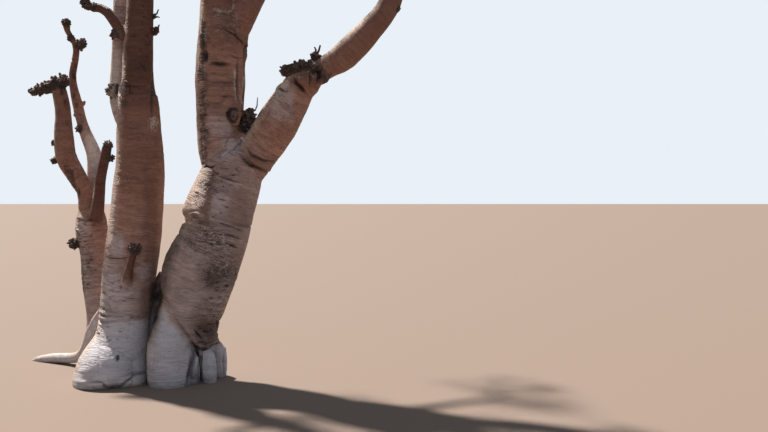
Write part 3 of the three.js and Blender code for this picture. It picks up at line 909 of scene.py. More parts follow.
@dataclass
class Carving:
    """A skin's points while its bark is carved.

    It holds the depths to carve, where the points are in mm, how much each faces the front, a rough noise,
    how far each moves out in mm, and how much painted shade it gets for how deep in a crease it lies.
    """

    relief: BarkRelief
    mm: Array
    front: Array
    rag: Array
    grain: Grain
    push: Array
    crease_shade: Array

    @classmethod
    def begin(cls, relief: BarkRelief, places: Array, normals: Array, seed: int) -> "Carving":
        """Lays out a skin that nothing is carved in yet.

        Args:
            relief: How deep the bark's shapes are.
            places: Its points, in metres.
            normals: Their outward directions.
            seed: What its noise starts from.

        Returns:
            The points.
        """
        mm, grain = places / MM, Grain(seed)
        front, rag = smooth(-0.25, 0.1, -normals[:, 1]), grain.layers(mm / relief.rag_pitch + 7.1, 3)
        return cls(relief, mm, front, rag, grain, np.zeros(len(mm)), np.zeros(len(mm)))

    def wrinkle(self, spots: tuple[Wrinkling, ...], lies: list[Lie], weight: Array) -> None:
        """Carves the low lumps of the whole skin and the wrinkles that run round its limbs.

        Args:
            spots: Where the wrinkles are stronger.
            lies: Where the points lie on each limb.
            weight: How much each limb counts at each point.
        """
        relief = self.relief
        warp = self.grain.layers(self.mm / relief.drift_pitch, 2)
        boost = 0.6 + 0.5 * self.grain.at(self.mm / relief.strength_pitch + 3.3)
        for spot in spots:
            boost += spot.strength * (1 - smooth(0.5, 1.3, spot.off(self.mm) + 0.25 * self.rag)) * self.front
        self.push += relief.swell * self.grain.layers(self.mm / relief.swell_pitch, 2)
        for lie, share in zip(lies, weight):
            turn = np.stack([np.cos(lie.bearing), np.sin(lie.bearing)], 1) * relief.wrinkle_turns
            run = (lie.along / MM + relief.drift * warp) / relief.wrinkle_pitch
            ring = self.grain.at(np.column_stack([turn, run]))
            fine = self.grain.at(np.column_stack([turn * 1.7, run * 1.7 + 31]))
            crease = np.clip(1 - np.abs(ring) * 2.4, 0, 1) ** 2
            crease = crease + 0.5 * np.clip(1 - np.abs(fine) * 2.6, 0, 1) ** 2
            size = np.clip(lie.girth / 0.2, 0.35, 1.1)
            bend = np.clip(lie.inner * 1.6, 0, 1) * np.clip(np.sin(lie.along / MM / 21 + 2 * warp), 0, 1)
            depth = -relief.wrinkle * crease * np.maximum(boost, 0.1) - relief.fold * bend
            self.push += share * size * depth
            # painted shade in the wrinkles and folds
            self.crease_shade += share * (crease * np.clip(boost, 0, 1.6) * 0.45 + bend)

    def press_furrow(self, furrow: Furrow, number: int) -> None:
        """Carves one crease, with its lip and its hood.

        Args:
            furrow: The crease.
            number: Its place among the stem's creases, which moves its noise on.
        """
        corners, margin = np.array(furrow.path, float), 9 * furrow.width + 15
        spots = self.mm[:, [0, 2]]
        inside = (spots > corners.min(0) - margin) & (spots < corners.max(0) + margin)
        close = inside.all(1) & (self.front > 0)
        mm = self.mm[close]
        least, share, side = front_line(mm, furrow.path)
        taper = np.sqrt(np.sin(np.pi * np.clip(share, 0.02, 0.98)))
        width = furrow.width * (0.4 + 0.6 * taper) * (1 + 0.35 * self.grain.at(mm / 45 + number))
        taper *= self.front[close]
        off = least + 4 * self.rag[close]
        groove = np.exp(-((off / width) ** 2)) * taper
        lip = np.exp(-(((off - 2.1 * width) / width) ** 2)) * taper
        hood = np.exp(-(((off - 3.2 * width) / (2.4 * width)) ** 2)) * taper * (side > 0)
        self.push[close] += furrow.depth * (furrow.lip * lip - groove) + furrow.hood * hood
        # painted shade in the groove
        self.crease_shade[close] += furrow.shade_weight * 1.6 * groove

    def press_knot(self, off: Array, knot: Knot, shown: Array) -> None:
        """Carves a knot's hollow and folds.

        Args:
            off: How far each point is from its middle, in half sizes.
            knot: The knot.
            shown: How much each point can carry it.
        """
        rough = off + knot.rag * self.rag
        hollow = np.exp(-(rough**2) * 2.2) * shown * (knot.hollow > 0)
        window = smooth(0.7, 1.0, rough) * (1 - smooth(0.6, 1.0, (rough - 0.8) / (0.55 * knot.folds))) * shown
        wave = np.cos((rough - 1.15) * 2 * np.pi / 0.55) * window
        self.push += knot.fold * wave - knot.hollow * hollow
        # painted shade in the hollow and in the troughs of the folds
        self.crease_shade += knot.shade_weight * (hollow + 0.7 * np.clip(-wave, 0, 1) ** 2)


@dataclass
class Stem:
    """One trunk with the boughs that rise from it, as one skin of bark."""

    name: str
    pieces: dict[str, tuple[str, ...]]
    seed: int
    voxel: float = 7.5
    furrows: tuple[Furrow, ...] = ()
    knots: tuple[Knot, ...] = ()
    swellings: tuple[Swelling, ...] = ()
    patches: tuple[Patch, ...] = ()
    bands: tuple[Band, ...] = ()
    wrinklings: tuple[Wrinkling, ...] = ()
    sprigs: tuple[tuple[Station, ...], ...] = ()
    foot_line: tuple[Spot, ...] = ((0.0, 540.0),)
    relief: BarkRelief = field(default_factory=BarkRelief)

    def limbs(self) -> list[Limb]:
        """The limbs of every piece of this stem."""
        return [LIMBS[name] for names in self.pieces.values() for name in names]

    def build(self) -> list[Piece]:
        """Models the stem's bark.

        Returns:
            Its finished pieces.
        """
        skin = self.fuse()
        self.carve(skin)
        self.trim(skin)
        return self.split(skin)

    def fuse(self) -> Piece:
        """Joins the limbs and burrs.

        Returns:
            One even skin.
        """
        limbs = self.limbs()
        parts = [limb.raise_tube() for limb in limbs]
        toes = [Limb("toe", toe.stations(limb), sides=40) for limb in limbs for toe in limb.toes]
        parts += [toe.raise_tube() for toe in toes]
        parts += [self.burr_core(burr, index) for limb in limbs for index, burr in enumerate(limb.burrs)]
        bpy.ops.object.select_all(action="DESELECT")
        for part in parts:
            part.select_set(True)
        bpy.context.view_layer.objects.active = parts[0]
        bpy.ops.object.join()
        skin = bpy.context.object
        skin.name = self.name
        apply_modifier(skin, "REMESH", mode="VOXEL", voxel_size=self.voxel * MM, use_smooth_shade=True)
        apply_modifier(skin, "SMOOTH", factor=0.5, iterations=9)
        return skin

    @staticmethod
    def burr_core(burr: Burr, index: int) -> Piece:
        """The lumpy heart of a burr.

        Args:
            burr: Its place and size.
            index: Its number on its limb.

        Returns:
            A closed lump.
        """
        centre = burr.centre() * MM
        bpy.ops.object.select_all(action="DESELECT")
        bpy.ops.mesh.primitive_ico_sphere_add(subdivisions=3, radius=burr.size * 0.86 * MM, location=centre)
        core = bpy.context.object
        settle(core)
        places = places_of(core)
        rough = Grain(index + int(abs(burr.x))).layers(places / (0.55 * burr.size * MM), 2)
        move_points(core, places + unit(places - centre) * (rough * 0.34 * burr.size * MM)[:, None])
        return core

    def carve(self, skin: Piece) -> None:
        """Gives the skin its relief, its kinds of bark and its painted light and shade, and keeps them as
        attributes.

        Args:
            skin: The stem's even skin.
        """
        places, normals = places_of(skin), normals_of(skin)
        relief = self.relief
        carving = Carving.begin(relief, places, normals, self.seed)
        mm, front, rag, grain = carving.mm, carving.front, carving.rag, carving.grain
        lies = [Lie.on(limb, places) for limb in self.limbs()]
        near = np.abs([lie.near for lie in lies])
        owner = near.argmin(0)
        weight = np.exp(-(near - near.min(0)) / SHARED_BARK)
        weight /= weight.sum(0)
        marks = self.marks(carving)
        carving.wrinkle(self.wrinklings, lies, weight)
        for number, furrow in enumerate(self.furrows):
            carving.press_furrow(furrow, number)
        for knot in self.knots:
            carving.press_knot(knot.off(mm), knot, front)
        behind = smooth(0.0, 0.3, normals[:, 1])
        for number, (limb, lie) in enumerate(zip(self.limbs(), lies)):
            for along, bearing, knot in self.hidden_knots(limb):
                beside = np.angle(np.exp(1j * (lie.bearing - bearing))) * lie.girth
                off = np.hypot((lie.along - along) / knot.wide, beside / knot.high) / MM
                carving.press_knot(off, knot, behind * (owner == number))
        push = carving.push
        for lump in self.swellings:
            push += lump.height * np.exp(-(lump.off(mm) ** 2) * 1.6) * front
        push += relief.crust * marks[CRUST] * grain.layers(mm / relief.crust_pitch + 5.5, 2)
        push += relief.scuff * marks[SCUFF] * grain.layers(mm / relief.scuff_pitch + 9.5, 2)
        push *= smooth(-40, 60, mm[:, 2]) * 0.5 + 0.5
        move_points(skin, places + normals * (np.clip(push, -relief.reach, relief.reach) * MM)[:, None])
        values = {mark.value: value for mark, value in marks.items()}
        values["along"] = np.take_along_axis(np.array([lie.along for lie in lies]), owner[None], 0)[0]
        # how much painted shade each point gets in creases, grooves and hollows
        values["crease_shade"] = np.clip(carving.crease_shade, 0, 1.5)
        values["owner"] = owner
        values["tan"] = sum(
            share * (limb.tan[0] + (limb.tan[1] - limb.tan[0]) * smooth(0.2, 0.8, lie.share))
            for share, limb, lie in zip(weight, self.limbs(), lies)
        )
        # painted light: paler where the bark faces the key light
        values["painted_light"] = smooth(0.3, 0.85, normals @ unit(LIT_SIDE) + 0.16 * rag)
        for name, value in values.items():
            write_values(skin, name, value)

    def marks(self, carving: Carving) -> dict[Mark, Array]:
        """Where each kind of bark, and the painted shade, shows.

        Args:
            carving: The skin's points.

        Returns:
            A share from 0 to 1 for each point, by kind.
        """
        mm, front, rag, grain = carving.mm, carving.front, carving.rag, carving.grain
        marks = {mark: np.zeros(len(mm)) for mark in Mark}
        for number, patch in enumerate(self.patches):
            torn = grain.layers(mm / (0.8 * min(patch.wide, patch.high)) + number * 3.7, 3)
            edge = patch.off(mm) + patch.rag * 1.6 * torn
            shown = patch.strength * (1 - smooth(0.4, 1.3, edge)) * front
            marks[patch.mark] = np.maximum(marks[patch.mark], shown * (0.8 + 0.5 * torn))
        for number, band in enumerate(self.bands):
            torn = grain.layers(mm / (1.4 * band.width) + number * 5.9, 3)
            edge = front_line(mm, band.path)[0] / band.width + band.rag * torn
            shown = band.strength * (1 - smooth(0.2, 1.3, edge)) * front
            marks[band.mark] = np.maximum(marks[band.mark], shown)
        for burr in (burr for limb in self.limbs() for burr in limb.burrs if not burr.bare):
            off = np.linalg.norm(mm - burr.centre(), axis=1) / burr.size
            marks[CRUST] = np.maximum(marks[CRUST], 1 - smooth(0.85, 1.45, off + 0.3 * rag))
        across, top = np.array(self.foot_line).T
        marks[FOOT] = 1 - smooth(-50, 60, mm[:, 2] - np.interp(mm[:, 0], across, top) + 60 * rag)
        return {mark: np.clip(value, 0, 1) for mark, value in marks.items()}

    @staticmethod
    def hidden_knots(limb: Limb) -> Iterator[tuple[float, float, Knot]]:
        """Scars on the side of a thick limb that the picture doesn't show, by a seeded rule.

        Args:
            limb: The limb.

        Yields:
            The run along the limb in metres, the bearing in radians, and the knot.
        """
        rings = limb.spine().at(np.linspace(0, 1, 60))
        length = run_along(rings[:, :3])[-1]
        roll = Dice(int(abs(limb.stations[0][0])) + len(limb.name))
        girth = rings[:, 3].mean()
        for number in range(int(length / SCAR_STEP) if girth > 0.07 else 0):
            along = (number + 0.3 + 0.6 * roll()) * SCAR_STEP + (0.5 if limb.toes else 0.0)
            size = (0.14 + 0.12 * roll()) * girth / MM
            knot = Knot(0, 0, size, size * (1.0 + 0.5 * roll()), size * 0.28, size * 0.1, 1 + 2 * roll())
            yield along, math.pi * (0.12 + 0.76 * roll()), knot

    @staticmethod
    def trim(skin: Piece) -> None:
        """Cuts the skin flat at the ground and closes the cut.

        Args:
            skin: The carved skin.
        """
        select_only(skin)
        bpy.ops.object.mode_set(mode="EDIT")
        bpy.ops.mesh.select_all(action="SELECT")
        bpy.ops.mesh.bisect(plane_co=(0, 0, 0), plane_no=(0, 0, 1), clear_inner=True, use_fill=True)
        bpy.ops.object.mode_set(mode="OBJECT")

    def split(self, skin: Piece) -> list[Piece]:
        """Parts the skin by the limbs that each piece stands for, with its shading unbroken.

        Args:
            skin: The carved skin.

        Returns:
            The pieces, each riding on the tree, with the nodes it stands for hidden.
        """
        kept = skin.data.attributes.new("kept_normal", "FLOAT_VECTOR", "POINT")
        kept.data.foreach_set("vector", normals_of(skin).astype(np.float32).ravel())
        names = [limb.name for limb in self.limbs()]
        pieces = []
        for name, members in list(self.pieces.items())[1:]:
            wanted = [names.index(member) for member in members]
            select_only(skin)
            first = np.array([face.vertices[0] for face in skin.data.polygons])
            values = np.empty(len(skin.data.vertices), np.float32)
            skin.data.attributes["owner"].data.foreach_get("value", values)
            chosen = np.isin(np.round(values[first]).astype(int), wanted)
            bpy.ops.object.mode_set(mode="EDIT")
            bpy.ops.mesh.select_mode(type="FACE")
            bpy.ops.mesh.select_all(action="DESELECT")
            bpy.ops.object.mode_set(mode="OBJECT")
            skin.data.polygons.foreach_set("select", chosen)
            bpy.ops.object.mode_set(mode="EDIT")
            bpy.ops.mesh.separate(type="SELECTED")
            bpy.ops.object.mode_set(mode="OBJECT")
            piece = next(o for o in bpy.context.selected_objects if o is not skin)
            piece.name = name
            pieces.append(piece)
        skin.name = next(iter(self.pieces))
        pieces.insert(0, skin)
        for piece in pieces:
            normals = rows_of(piece.data.attributes["kept_normal"].data, "vector")
            piece.data.normals_split_custom_set_from_vertices(normals.tolist())
            for spare in ("kept_normal", "owner"):
                piece.data.attributes.remove(piece.data.attributes[spare])
            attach(piece, "root")
            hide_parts(*(name for name in self.pieces[piece.name] if name != "web"))
            "trunk_bark" if "trunk" in self.pieces[piece.name][0] else "bough_bark"
        return pieces


@dataclass
class Rods:
    """Many tapering rods gathered into the arrays of one mesh."""

    points: list[Array] = field(default_factory=list)
    quads: list[Array] = field(default_factory=list)
    ends: dict[int, list[Array]] = field(default_factory=dict)
    shades: list[Array] = field(default_factory=list)
    runs: list[Array] = field(default_factory=list)
    count: int = 0

    def add(self, line: Array, sides: int, shade: float) -> None:
        """Adds one rod.

        Args:
            line: Rows of x, y, z and radius, in metres.
            sides: How many sides it has.
            shade: A number that its colour is dealt by.
        """
        way = unit(np.gradient(line[:, :3], axis=0))
        across = unit(np.cross(way, RIGHT if abs(way[0, 2]) > 0.8 else UP))
        beside = np.cross(way, across)
        turn = np.linspace(0, 2 * math.pi, sides, endpoint=False)
        ring = np.cos(turn)[None, :, None] * across[:, None] + np.sin(turn)[None, :, None] * beside[:, None]
        points = line[:, None, :3] + ring * line[:, None, 3:]
        step = np.arange(len(line) - 1)[:, None] * sides
        side = np.arange(sides)[None, :]
        after = (side + 1) % sides
        quads = np.stack([step + side, step + sides + side, step + sides + after, step + after], -1)
        self.points.append(points.reshape(-1, 3))
        self.quads.append(quads.reshape(-1, 4)[:, ::-1] + self.count)
        caps = np.stack([np.arange(sides)[::-1], np.arange(sides) + (len(line) - 1) * sides])
        self.ends.setdefault(sides, []).append(caps + self.count)
        self.shades.append(np.full(len(line) * sides, shade))
        self.runs.append(np.repeat(run_along(line[:, :3]), sides))
        self.count += len(line) * sides

    def piece(self, name: str) -> Piece:
        """The rods as one mesh.

        Args:
            name: Its name.

        Returns:
            The piece, with its shade and run kept as attributes.
        """
        faces = [np.concatenate(self.quads)] + [np.concatenate(e) for e in self.ends.values()]
        made = mesh_from_arrays(name, np.concatenate(self.points), faces)
        write_values(made, "shade", np.concatenate(self.shades))
        write_values(made, "along", np.concatenate(self.runs))
        return made


@dataclass(frozen=True)
class BurrShoots:
    """The stubby, bent shoots that crowd on the burrs of one stem."""

    name: str
    stem: Stem
    crowd: float = 0.75
    thickness: float = 12.0

    def build(self) -> Piece:
        """Models every shoot of the stem's burrs as one mesh.

        Returns:
            The piece.
        """
        rods = Rods()
        for limb in self.stem.limbs():
            for burr in limb.burrs:
                if not burr.bare:
                    self.crowd_burr(burr, rods)
        for sprig in self.stem.sprigs:
            rods.add(np.array(sprig) * MM, 6, 0.3)
        piece = rods.piece(self.name)
        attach(piece, "root")
        return piece

    def crowd_burr(self, burr: Burr, rods: Rods) -> None:
        """Sets the shoots of one burr.

        Args:
            burr: Its place and size, mm.
            rods: Where they are gathered.
        """
        dealt = np.random.default_rng(int(abs(burr.x) * 7 + burr.z))
        centre = burr.centre()
        stretch = np.array([1.15, 1.0, 0.8])
        for _ in range(int(burr.size * self.crowd) + 6):
            way = unit(dealt.normal(size=3) * stretch + UP * 0.3)
            length = burr.size * dealt.uniform(0.3, 0.75)
            thick = self.thickness * dealt.uniform(0.55, 1.25) * min(1, burr.size / 50)
            at = centre + way * burr.size * dealt.uniform(0.35, 0.6)
            line = [(*at, thick * 1.1)]
            for bend in range(3):
                way = unit(way + dealt.normal(size=3) * 0.38 + UP * 0.12)
                at = at + way * length / 3
                line.append((*at, thick * (0.85, 1.1, 0.95)[bend]))
            line.append((*(at + way * thick * 0.5), thick * 0.5))
            rods.add(np.array(line) * MM, 6, dealt.uniform())


@dataclass(frozen=True)
class Order:
    """One order of twigs: how often it bends, how many side twigs it bears and its sides."""

    bends: int
    children: int
    sides: int


ORDERS = (
    Order(3, 5, 10), Order(2, 3, 8), Order(1, 5, 6), Order(2, 4, 5), Order(2, 3, 4), Order(1, 0, 3),
)


@dataclass(frozen=True)
class Mass:
    """One mass of the crown: the bough that carries it, the length of its stem in mm, its seed."""

    name: str
    bough: str
    length: float
    seed: int

    def space(self) -> dict[str, Array | float]:
        """Where the mass's stem starts and the ball of air that its twigs may fill.

        Returns:
            Its first direction, start and radius, and the ball's middle and reach, in mm.
        """
        line = LIMBS[self.bough].spine()
        way = line.way(1)[0]
        tip = line.at(1)[0] / MM
        start = tip[:3] + way * SEAT_GAP
        return {
            "way": way, "start": start, "radius": tip[3] * 0.94,
            "heart": start + way * self.length * HEART_SHARE, "reach": self.length * REACH_SHARE,
        }


MASSES = tuple(
    Mass(f"twigs_{name}", f"bough_{name.removesuffix('_top')}", length, seed)
    for name, length, seed in (
        ("tall_top", 850, 11), ("tall_left", 780, 23), ("tall_right", 750, 37), ("pale", 780, 41),
        ("hooked", 500, 59), ("upright_top", 850, 67), ("upright_right", 820, 73), ("upright_front", 780, 89),
        ("back", 820, 97), ("reaching_outer", 800, 103), ("reaching_inner", 750, 113),
    )
)


def turned(direction: Array, degrees: float, roll: float) -> Array:
    """A direction leaned over.

    Args:
        direction: Where it points now.
        degrees: How far it leans.
        roll: To which side, in radians round it.

    Returns:
        The new direction.
    """
    side = unit(np.cross(direction, UP if abs(direction[2]) < 0.9 else RIGHT))
    side = np.array(Matrix.Rotation(roll, 3, Vector(direction)) @ Vector(side))
    return unit(np.array(Matrix.Rotation(math.radians(degrees), 3, Vector(side)) @ Vector(direction)))


@dataclass
class Crown:
    """All the twigs of the bare crown, grown on by the frame's own rule."""

    masses: tuple[Mass, ...] = MASSES
    orders: tuple[Order, ...] = ORDERS

    def __post_init__(self) -> None:
        """Measures the masses' spaces and the limbs that the twigs keep clear of."""
        self.spaces = {mass.name: mass.space() for mass in self.masses}
        self.hearts = np.array([space["heart"] for space in self.spaces.values()])
        self.reaches = np.array([space["reach"] for space in self.spaces.values()])
        rows, self.owners = [], []
        for limb in LIMBS.values():
            steps = 2 * (len(limb.stations) - 1)
            at = limb.spine().at(np.linspace(0, 1, steps + 1)) / MM
            rows.append(np.column_stack([at[:-1, :3], at[1:, :3], np.maximum(at[:-1, 3], at[1:, 3])]))
            self.owners += [(limb.name, step == steps - 1) for step in range(steps)]
        self.capsules = np.vstack(rows)

    def build(self) -> list[Piece]:
        """Grows every mass as one piece of its own.

        Returns:
            The pieces.
        """
        pieces = []
        for index, mass in enumerate(self.masses):
            free = np.array([not (name == mass.bough and last) for name, last in self.owners])
            rods = Rods()
            for order, line in self.grow(mass, index, self.capsules[free]):
                shade = Dice(len(rods.points) + mass.seed)()
                rods.add(self.rounded(line) * MM, self.orders[order].sides, shade)
            piece = rods.piece(mass.name + "_grown")
            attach(piece, "root")
            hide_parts(mass.name)
            pieces.append(piece)
        return pieces

    @staticmethod
    def rounded(line: Array) -> Array:
        """Gives a twig a blunt, rounded tip.

        Args:
            line: Its rows of x, y, z and radius.

        Returns:
            The rows with one more.
        """
        tip, before = line[-1], line[-2]
        close = tip.copy()
        close[:3] += (tip[:3] - before[:3]) / np.linalg.norm(tip[:3] - before[:3]) * tip[3] * 0.6
        close[3] *= 0.45
        return np.vstack([line, close])

    def grow(self, mass: Mass, index: int, taken: Array) -> Iterator[tuple[int, Array]]:
        """Grows a mass, the stem first.

        Args:
            mass: Which.
            index: Its place among the masses.
            taken: The capsules that its twigs keep clear of.

        Yields:
            Each twig's order and its stations, in mm.
        """
        space = self.spaces[mass.name]
        waiting = [(0, space["start"], space["way"], mass.length, space["radius"], mass.seed)]
        while waiting:
            order, start, way, length, radius, seed = waiting.pop()
            rule = self.orders[order]
            line = self.twig_line(start, way, length, radius, rule.bends, Dice(seed))
            if order > 0 and not self.has_room(line, index, taken):
                continue
            yield order, line
            for child in range(rule.children):
                child_seed = seed * 7 + child * 131 + 17
                roll = Dice(child_seed)
                share = FIRST_CHILD + (0.98 - FIRST_CHILD) * ((child + roll()) / rule.children)
                reach = share * (len(line) - 1)
                step = min(int(reach), len(line) - 2)
                root = line[step] + (line[step + 1] - line[step]) * (reach - step)
                run = unit(line[step + 1, :3] - line[step, :3])
                spread = TWIG_SPREAD[0] + (TWIG_SPREAD[1] - TWIG_SPREAD[0]) * roll()
                turn = math.radians(GOLDEN_TURN * child + 70 * roll())
                side = length * TWIG_LENGTH_SHARE * (1.15 - 0.35 * share) * (0.8 + 0.4 * roll())
                off, thick = turned(run, spread, turn), root[3] * TWIG_ROOT_SHARE
                waiting.append((order + 1, root[:3], off, side, thick, child_seed))

    @staticmethod
    def twig_line(start: Array, way: Array, length: float, radius: float, bends: int, roll: Dice) -> Array:
        """A crooked, tapering twig.

        Args:
            start: Where it springs, mm.
            way: Its first direction.
            length: Its length, mm.
            radius: Its radius at the root, mm.
            bends: How many straight stretches it has.
            roll: The numbers that its crooks are dealt by.

        Returns:
            Rows of x, y, z and radius, in mm.
        """
        line = [(*start, radius)]
        at = np.array(start)
        for bend in range(1, bends + 1):
            if bend > 1:
                lean = TWIG_CROOK * (0.4 + 0.8 * roll())
                way = unit(turned(way, lean, 2 * math.pi * roll()) + UP * TWIG_LIFT)
            at = at + way * length / bends
            line.append((*at, radius * (1 + (TAPER - 1) * bend / bends)))
        return np.array(line)

    def has_room(self, line: Array, index: int, taken: Array) -> bool:
        """Whether a twig stays in its mass's reach, out of the others' and clear of every limb.

        Args:
            line: Its stations, mm.
            index: Its mass's place among the masses.
            taken: The capsules it keeps clear of.

        Returns:
            True where it may grow.
        """
        depth = self.reaches[None] - np.linalg.norm(line[:, None, :3] - self.hearts[None], axis=2)
        own = depth[:, index].copy()
        depth[:, index] = -1e9
        if (own <= 0).any() or (own <= depth.max(1) + 2 * TWIG_MARGIN).any():
            return False
        low, high = (np.array(corner) / MM for corner in CAD_BOX)
        if (line[:, :3] < low - TWIG_MARGIN).any() or (line[:, :3] > high + TWIG_MARGIN).any():
            return False
        for a, b in zip(line[:-1], line[1:]):
            u, v, w = b[:3] - a[:3], taken[:, 3:6] - taken[:, :3], a[:3] - taken[:, :3]
            uu, uv, vv = u @ u, v @ u, (v * v).sum(1)
            uw, vw = w @ u, (v * w).sum(1)
            det = uu * vv - uv * uv
            s = np.where(det > 1e-9, np.clip((uv * vw - vv * uw) / np.maximum(det, 1e-9), 0, 1), 0)
            t = np.clip((uv * s + vw) / vv, 0, 1)
            s = np.clip((uv * t - uw) / uu, 0, 1)
            gap = np.linalg.norm(w + s[:, None] * u - t[:, None] * v, axis=1) - a[3] - taken[:, 6]
            if (gap < TWIG_MARGIN).any():
                return False
        return True


class Nodes:
    """A short way to lay out and join the nodes of a material or a group."""

    def __init__(self, tree: NodeTree) -> None:
        """Keeps the tree and empties it."""
        self.tree = tree
        tree.nodes.clear()

    def feed(self, node: Node, **inputs: object) -> None:
        """Sets a node's inputs to values, or joins them to sockets.

        Args:
            node: The node.
            **inputs: What each gets, by its name with _ for a space, or by its number after an i.
        """
        for name, value in inputs.items():
            socket = node.inputs[int(name[1:])] if name[1:].isdigit() else node.inputs[name.replace("_", " ")]
            if isinstance(value, Socket):
                self.tree.links.new(value, socket)
            else:
                socket.default_value = value

    def add(self, kind: str, **inputs: object) -> Node:
        """Adds a node, and sets or joins its inputs.

        Args:
            kind: Blender's name of the node.
            **inputs: What each input gets, and the node's settings after at_.

        Returns:
            The node.
        """
        node = self.tree.nodes.new(kind)
        for name in [name for name in inputs if name.startswith("at_")]:
            setattr(node, name[3:], inputs.pop(name))
        self.feed(node, **inputs)
        return node

    def value(self, name: str) -> Socket:
        """A number that the mesh carries under that name."""
        return self.add("ShaderNodeAttribute", at_attribute_name=name).outputs["Fac"]

    def place(self) -> Socket:
        """A point's place in the object."""
        return self.add("ShaderNodeTexCoord").outputs["Object"]

    def noise(self, where: Socket, scale: object, detail: float, roughness: float = 0.5) -> Socket:
        """Cloudy noise at a place, from 0 to 1."""
        inputs = {"Vector": where, "Scale": scale, "Detail": detail, "Roughness": roughness}
        return self.add("ShaderNodeTexNoise", **inputs).outputs["Fac"]

    def math(self, operation: str, *values: object) -> Socket:
        """What an operation makes of one to three values."""
        inputs = {f"i{number}": value for number, value in enumerate(values)}
        return self.add("ShaderNodeMath", at_operation=operation, **inputs).outputs[0]

    def times(self, *values: object) -> Socket:
        """The product of two values."""
        return self.math("MULTIPLY", *values)

    def layered(self, *layers: tuple[object, float]) -> Socket:
        """Several values added up, each with its own weight.

        Args:
            *layers: Each value with its weight.

        Returns:
            The sum.
        """
        total = self.times(*layers[0])
        for value, weight in layers[1:]:
            total = self.math("MULTIPLY_ADD", value, weight, total)
        return total

    def span(self, value: object, low: float, high: float, to_low: float = 0, to_high: float = 1) -> Socket:
        """A value brought from one span to another, held within it."""
        ends = {"Value": value, "From_Min": low, "From_Max": high, "To_Min": to_low, "To_Max": to_high}
        return self.add("ShaderNodeMapRange", at_interpolation_type="SMOOTHSTEP", **ends).outputs["Result"]

    def mix(self, share: object, a: object, b: object, how: str = "MIX") -> Socket:
        """Two colours mixed."""
        node = self.add("ShaderNodeMix", at_data_type="RGBA", at_blend_type=how, i0=share, i6=a, i7=b)
        return node.outputs[2]

    def group(self, tree: NodeTree, **values: float) -> bpy.types.bpy_prop_collection:
        """Places a shader group with its own values, and gives its outputs."""
        return self.add("ShaderNodeGroup", at_node_tree=tree, **values).outputs

    def surface(self, **inputs: object) -> None:
        """Ends a material in one plain surface."""
        shader = self.add("ShaderNodeBsdfPrincipled", **inputs)
        self.add("ShaderNodeOutputMaterial", Surface=shader.outputs[0])


def new_material(name: str) -> tuple[bpy.types.Material, Nodes]:
    """Starts a material.

    Args:
        name: Its name.

    Returns:
        The material and its empty nodes.
    """
    material = bpy.data.materials.new(name)
    material.use_nodes = True
    return material, Nodes(material.node_tree)


def shade_of(red: int, green: int, blue: int) -> Colour:
    """A screen colour as the light that a surface returns."""
    parts = [c / 255 for c in (red, green, blue)]
    return (*[c / 12.92 if c <= 0.04045 else ((c + 0.055) / 1.055) ** 2.4 for c in parts], 1.0)


def new_group(name: str, inputs: str, outputs: str) -> tuple[Nodes, Node, Node]:
    """Starts a shader node group whose sockets are all numbers.

    Args:
        name: Its name.
        inputs: The names of its inputs.
        outputs: The names of its outputs.

    Returns:
        Its nodes, its input node and its output node.
    """
    tree = bpy.data.node_groups.new(name, "ShaderNodeTree")
    for way, sockets in (("INPUT", inputs), ("OUTPUT", outputs)):
        for socket in sockets.split(", "):
            tree.interface.new_socket(socket, in_out=way, socket_type="NodeSocketFloat")
    nodes = Nodes(tree)
    return nodes, nodes.add("NodeGroupInput"), nodes.add("NodeGroupOutput")


def ring_wrinkle_group() -> NodeTree:
    """Fine wrinkles that run round a limb: their height, and masks of their bottoms, bands and cracks.

    Returns:
        The group.
    """
    nodes, given, made = new_group("ring_wrinkles", "Pitch, Turns, Warp", "Height, Crease, Band, Crack")
    place, turns = nodes.place(), given.outputs["Turns"]
    drift = nodes.math("SUBTRACT", nodes.noise(place, 7.0, 2.0), 0.5)
    run = nodes.math("MULTIPLY_ADD", drift, given.outputs["Warp"], nodes.value("along"))
    apart = nodes.add("ShaderNodeSeparateXYZ", Vector=place).outputs
    spot = nodes.add(
        "ShaderNodeCombineXYZ", X=nodes.times(apart["X"], turns), Y=nodes.times(apart["Y"], turns),
        Z=nodes.math("DIVIDE", run, given.outputs["Pitch"]),
    ).outputs[0]
    wave = nodes.noise(spot, 1.0, 3.0, 0.55)
    ridge = nodes.math("ABSOLUTE", nodes.math("SUBTRACT", wave, 0.5))
    cells = nodes.add("ShaderNodeTexVoronoi", at_feature="DISTANCE_TO_EDGE", Vector=spot, Scale=1.0)
    nodes.feed(
        made, Height=nodes.span(ridge, 0.0, 0.16), Crease=nodes.span(ridge, 0.05, 0.0),
        Band=nodes.span(wave, 0.42, 0.64), Crack=nodes.span(cells.outputs["Distance"], 0.1, 0.03),
    )
    return nodes.tree


def mottle_group() -> NodeTree:
    """Cloudy patches, fine grain and scattered specks of bark.

    Returns:
        The group.
    """
    nodes, given, made = new_group("bark_mottle", "Cloud Size, Speck Size", "Cloud, Grain, Speck")
    place = nodes.place()
    cloud_scale = nodes.math("DIVIDE", 1.0, given.outputs["Cloud Size"])
    speck_scale = nodes.math("DIVIDE", 1.0, given.outputs["Speck Size"])
    cells = nodes.add("ShaderNodeTexVoronoi", Vector=place, Scale=speck_scale)
    where = nodes.span(nodes.noise(place, 11.0, 2.0), 0.5, 0.62)
    nodes.feed(
        made, Cloud=nodes.span(nodes.noise(place, cloud_scale, 5.0, 0.62), 0.32, 0.68),
        Grain=nodes.noise(place, 160.0, 4.0, 0.7),
        Speck=nodes.times(nodes.span(cells.outputs["Distance"], 0.24, 0.12), where),
    )
    return nodes.tree


